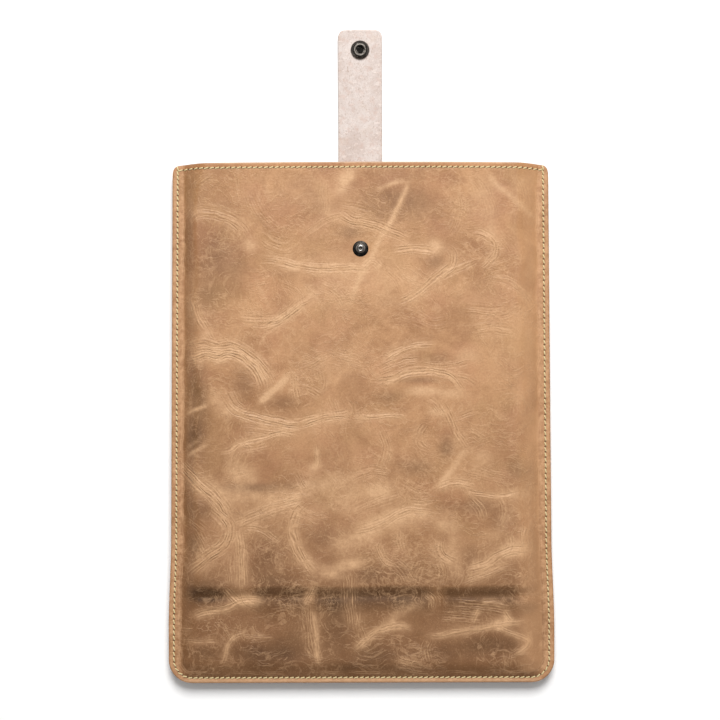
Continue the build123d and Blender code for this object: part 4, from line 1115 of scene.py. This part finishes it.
seam_stitches("seam_stitches_front", front_height, 1, "seam_thread_front", 19)
seam_stitches("seam_stitches_back", back_height, -1, "seam_thread_back", 8)
mouth_stitches("mouth_stitches_front", front_height, 1, "mouth_thread_front", 19)
mouth_stitches("mouth_stitches_front_inner", front_height, 1, "mouth_thread_front_inner", 8, inner=1.68)
mouth_stitches("mouth_stitches_back", back_height, -1, "mouth_thread_back", 8, skip=STRAP_W / 2 + 1.5)
mouth_stitches("mouth_stitches_back_inner", back_height, -1, "mouth_thread_back_inner", 8, inner=1.72)

# ---------------------------------------------------------------------------------------------
# Strap
# ---------------------------------------------------------------------------------------------
DIR = FOLD2 - FOLD1
RISER_L = float(np.linalg.norm(DIR))
DIR = DIR / RISER_L
UP = np.array([0.0, -DIR[2], DIR[1]])
TIP_AT = float((np.array([0, thi[1], thi[2]]) - FOLD1) @ DIR)
BASE_AT = float(blo[1] - FOLD1[1])
END_R = 5.0


def strap_place(s, x, h):
    """Place on the strap: s along it from the first fold, x across, h down from its flesh face."""
    if s < 0:
        c, up = FOLD1 + np.array([0, s, 0]), np.array([0, 0, 1.0])
    else:
        c, up = FOLD1 + DIR * s, UP
    if -2.5 < s < 2.5:
        k = (s + 2.5) / 5
        up = np.array([0, 0, 1.0]) * (1 - k) + UP * k
        up /= np.linalg.norm(up)
    return c + np.array([x, 0, 0]) - up * h


def strap_half(s):
    w = STRAP_W / 2
    if s > TIP_AT - END_R:
        t = s - (TIP_AT - END_R)
        w = w - END_R + math.sqrt(max(END_R ** 2 - t ** 2, 0))
        return w
    if s < BASE_AT + 3.0:
        t = BASE_AT + 3.0 - s
        return w - 3.0 + math.sqrt(max(9.0 - t ** 2, 0))
    return w


def strap_piece(name, s0, s1, cap0, cap1):
    n_s = int((s1 - s0) / 0.8) + 1
    ss = np.linspace(s0, s1, n_s)
    for end, cap in ((s0, cap0), (s1, cap1)):
        if cap:
            extra = np.array([0.02, 0.08, 0.2, 0.4, 0.65, 1.0, 1.4])
            ss = np.concatenate([ss, end + extra if end == s0 else end - extra])
    ss = np.concatenate([ss, [s0 + 0.01, s1 - 0.01]])
    ss = np.unique(np.round(ss, 5))
    nx = 33
    verts, seam = [], []
    rnd = [(0.0, 0.35), (0.10, 0.12), (0.35, 0.0)]      # rounding of the long edges: (inset, depth)
    prof = []
    for i in range(nx):
        a = -1 + 2 * i / (nx - 1)
        prof.append((a, None))
    rows = []
    for s in ss:
        w = strap_half(s)
        ring = []
        # flesh face, then right edge, grain face, left edge
        for i in range(nx):
            a = -1 + 2 * i / (nx - 1)
            e = w * (1 - abs(a))
            h = 0.22 * (1 - min(e / 0.9, 1)) ** 2
            ring.append((a * w, h))
        for h in (0.45, 0.9, 1.35):
            ring.append((w + 0.06 * math.sin(h / 1.8 * math.pi), h))
        for i in range(nx):
            a = 1 - 2 * i / (nx - 1)
            e = w * (1 - abs(a))
            h = 0.30 * (1 - min(e / 0.9, 1)) ** 2
            ring.append((a * w, STRAP_T - h))
        for h in (1.35, 0.9, 0.45):
            ring.append((-w - 0.06 * math.sin(h / 1.8 * math.pi), h))
        # ends taper a little in thickness, as a bevelled cut does
        r = []
        for x, h in ring:
            r.append(len(verts))
            end = min(s - s0 if cap0 else 9, s1 - s if cap1 else 9)
            squeeze = 0.18 * (1 - min(end / 0.9, 1)) ** 2
            hh = STRAP_T / 2 + (h - STRAP_T / 2) * (1 - squeeze)
            if h > STRAP_T / 2:
                hh -= 0.40 * float(smooth(-2.5, -6.5, s))
            wave = 0.10 * math.sin(s / 11.0 + 1) * smooth(0, 14, s - RISER_L) * (1 if s < TIP_AT - 30 else 0)
            verts.append(strap_place(s, x, hh - wave * (1 - (x / 16) ** 2)))
            d = min(STRAP_W / 2 - abs(x) if abs(x) < STRAP_W / 2 else 0, s - BASE_AT, TIP_AT - s)
            seam.append((s, max(d, 0.0) + 30 * 0, 60.0))
        rows.append(r)
    faces, mats = [], []
    m = len(rows[0])
    for i in range(len(rows) - 1):
        for j in range(m):
            j2 = (j + 1) % m
            faces.append((rows[i][j], rows[i][j2], rows[i + 1][j2], rows[i + 1][j]))
            mats.append(0 if j < nx - 1 else 2 if j < nx + 3 else 1 if j < 2 * nx + 2 else 2)
    faces.append(tuple(rows[0][::-1]))
    faces.append(tuple(rows[-1]))
    mats += [2, 2]
    mesh = bpy.data.meshes.new(name)
    mesh.from_pydata([tuple(np.array(v) * MM) for v in verts], [], [f[::-1] for f in faces])
    mesh.polygons.foreach_set("material_index", np.array(mats, np.int32))
    rounded = np.ones(len(mesh.polygons), bool)
    rounded[-2:] = False
    mesh.polygons.foreach_set("use_smooth", rounded)
    add_vector(mesh, "seam", [(a, 30.0, 60.0) for a, b, c in seam])
    for mat in (STRAP_FLESH, GRAIN_BACK, STRAP_EDGE):
        mesh.materials.append(mat)
    mesh.update()
    o = new_object(name, mesh)
    return o


MID = RISER_L / 2
lower = strap_piece("strap_lower", BASE_AT, MID, True, False)
upper = strap_piece("strap_upper", MID, TIP_AT, False, True)
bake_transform(lower)
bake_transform(upper)
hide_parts("strap_base", "strap_riser")
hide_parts("strap_tongue")

# the box of stitches that holds the strap, seen under it and inside the pocket
bx, by = 12.2, (Y_MOUTH - 8.0 - 36.0, Y_MOUTH - 8.0)


def box_row(z, up, turn):
    out = []
    for i in range(6):
        x = 2 * bx * ((i + 0.5) / 6 - 0.5)
        for y in by:
            out.append(((x, y, z), (1, 0, 0), up, turn))
    for i in range(9):
        y = by[0] + (by[1] - by[0]) * (i + 0.5) / 9
        for s in (-1, 1):
            out.append(((s * bx, y, z), (0, 1, 0), up, turn))
    return out


o = stitch_mesh("strap_stitches_outer", box_row(0.42, (0, 0, -1), 10), 3.5, 0.42, arch=0.05)
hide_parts("strap_thread_outer")
o = stitch_mesh("strap_stitches_inner", box_row(STRAP_T + 1.78, (0, 0, 1), 10), 3.5, 0.42, arch=0.2)
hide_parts("strap_thread_inner")

# ---------------------------------------------------------------------------------------------
# Snap: the CAD pieces keep their shape and get their finish
# ---------------------------------------------------------------------------------------------
for node in ("snap_socket", "snap_cap", "snap_stud", "snap_post", "snap_spring"):
    obj = frame["nodes"][node]
    mat = {"snap_spring": SPRING, "snap_cap": METAL_CAP, "snap_socket": METAL_WORN, "snap_post": METAL_DARK}.get(node, METAL)
    if obj.material_slots:
        for sl in obj.material_slots:
            sl.link = "OBJECT"
            sl.material = mat
    else:
        obj.data.materials.append(mat)

# ---------------------------------------------------------------------------------------------
# Floor, light, camera
# ---------------------------------------------------------------------------------------------
floor_mesh = bpy.data.meshes.new("floor")
n_f = 12
pts = [((i / n_f - 0.5) * 9.0, (j / n_f - 0.5) * 9.0, -0.00005) for j in range(n_f + 1) for i in range(n_f + 1)]
fcs = [(j * (n_f + 1) + i, j * (n_f + 1) + i + 1, (j + 1) * (n_f + 1) + i + 1, (j + 1) * (n_f + 1) + i) for j in range(n_f) for i in range(n_f)]
floor_mesh.from_pydata(pts, [], fcs)
floor = new_object("floor", floor_mesh)
fn = Nodes("floor_white")
floor_mesh.materials.append(fn.finish(fn.mix(fn.noise(fn.obj, 4, 2), (0.90, 0.90, 0.90), (0.915, 0.915, 0.915)), 0.85, spec=0.1))


def area(name, place, target, size, energy, color=(1, 1, 1)):
    data = bpy.data.lights.new(name, "AREA")
    data.shape = "RECTANGLE"
    data.size, data.size_y = size
    data.energy = energy
    data.color = color
    o = bpy.data.objects.new(name, data)
    bpy.context.scene.collection.objects.link(o)
    o.location = place
    o.rotation_euler = (Vector(target) - Vector(place)).to_track_quat("-Z", "Y").to_euler()
    return o


area("key", (0.10, 1.25, 1.75), (0, -0.03, 0), (0.9, 1.0), 57.0, (1.0, 0.997, 0.99))
overhead = area("overhead", (0.0, 0.1, 2.5), (0, 0, 0), (2.2, 2.2), 12.0)
overhead.visible_glossy = False

world = bpy.data.worlds.new("studio")
bpy.context.scene.world = world
world.use_nodes = True
world.node_tree.nodes["Background"].inputs[0].default_value = (1, 1, 1, 1)
world.node_tree.nodes["Background"].inputs[1].default_value = 0.23
bpy.context.scene.view_settings.view_transform = "Standard"
bpy.context.scene.view_settings.look = "None"

cam_data = bpy.data.cameras.new("camera")
cam = bpy.data.objects.new("camera", cam_data)
bpy.context.scene.collection.objects.link(cam)
CAM_H = 1200.0
cam_data.sensor_width = 36.0
cam_data.lens = 36.0 * (CAM_H - TOP_Z) / (720 * UNIT)
cam.location = (plan(358.85, 0)[0] * MM, plan(0, 360)[1] * MM, CAM_H * MM)
cam.rotation_euler = (0, 0, -0.0026)
bpy.context.scene.camera = cam
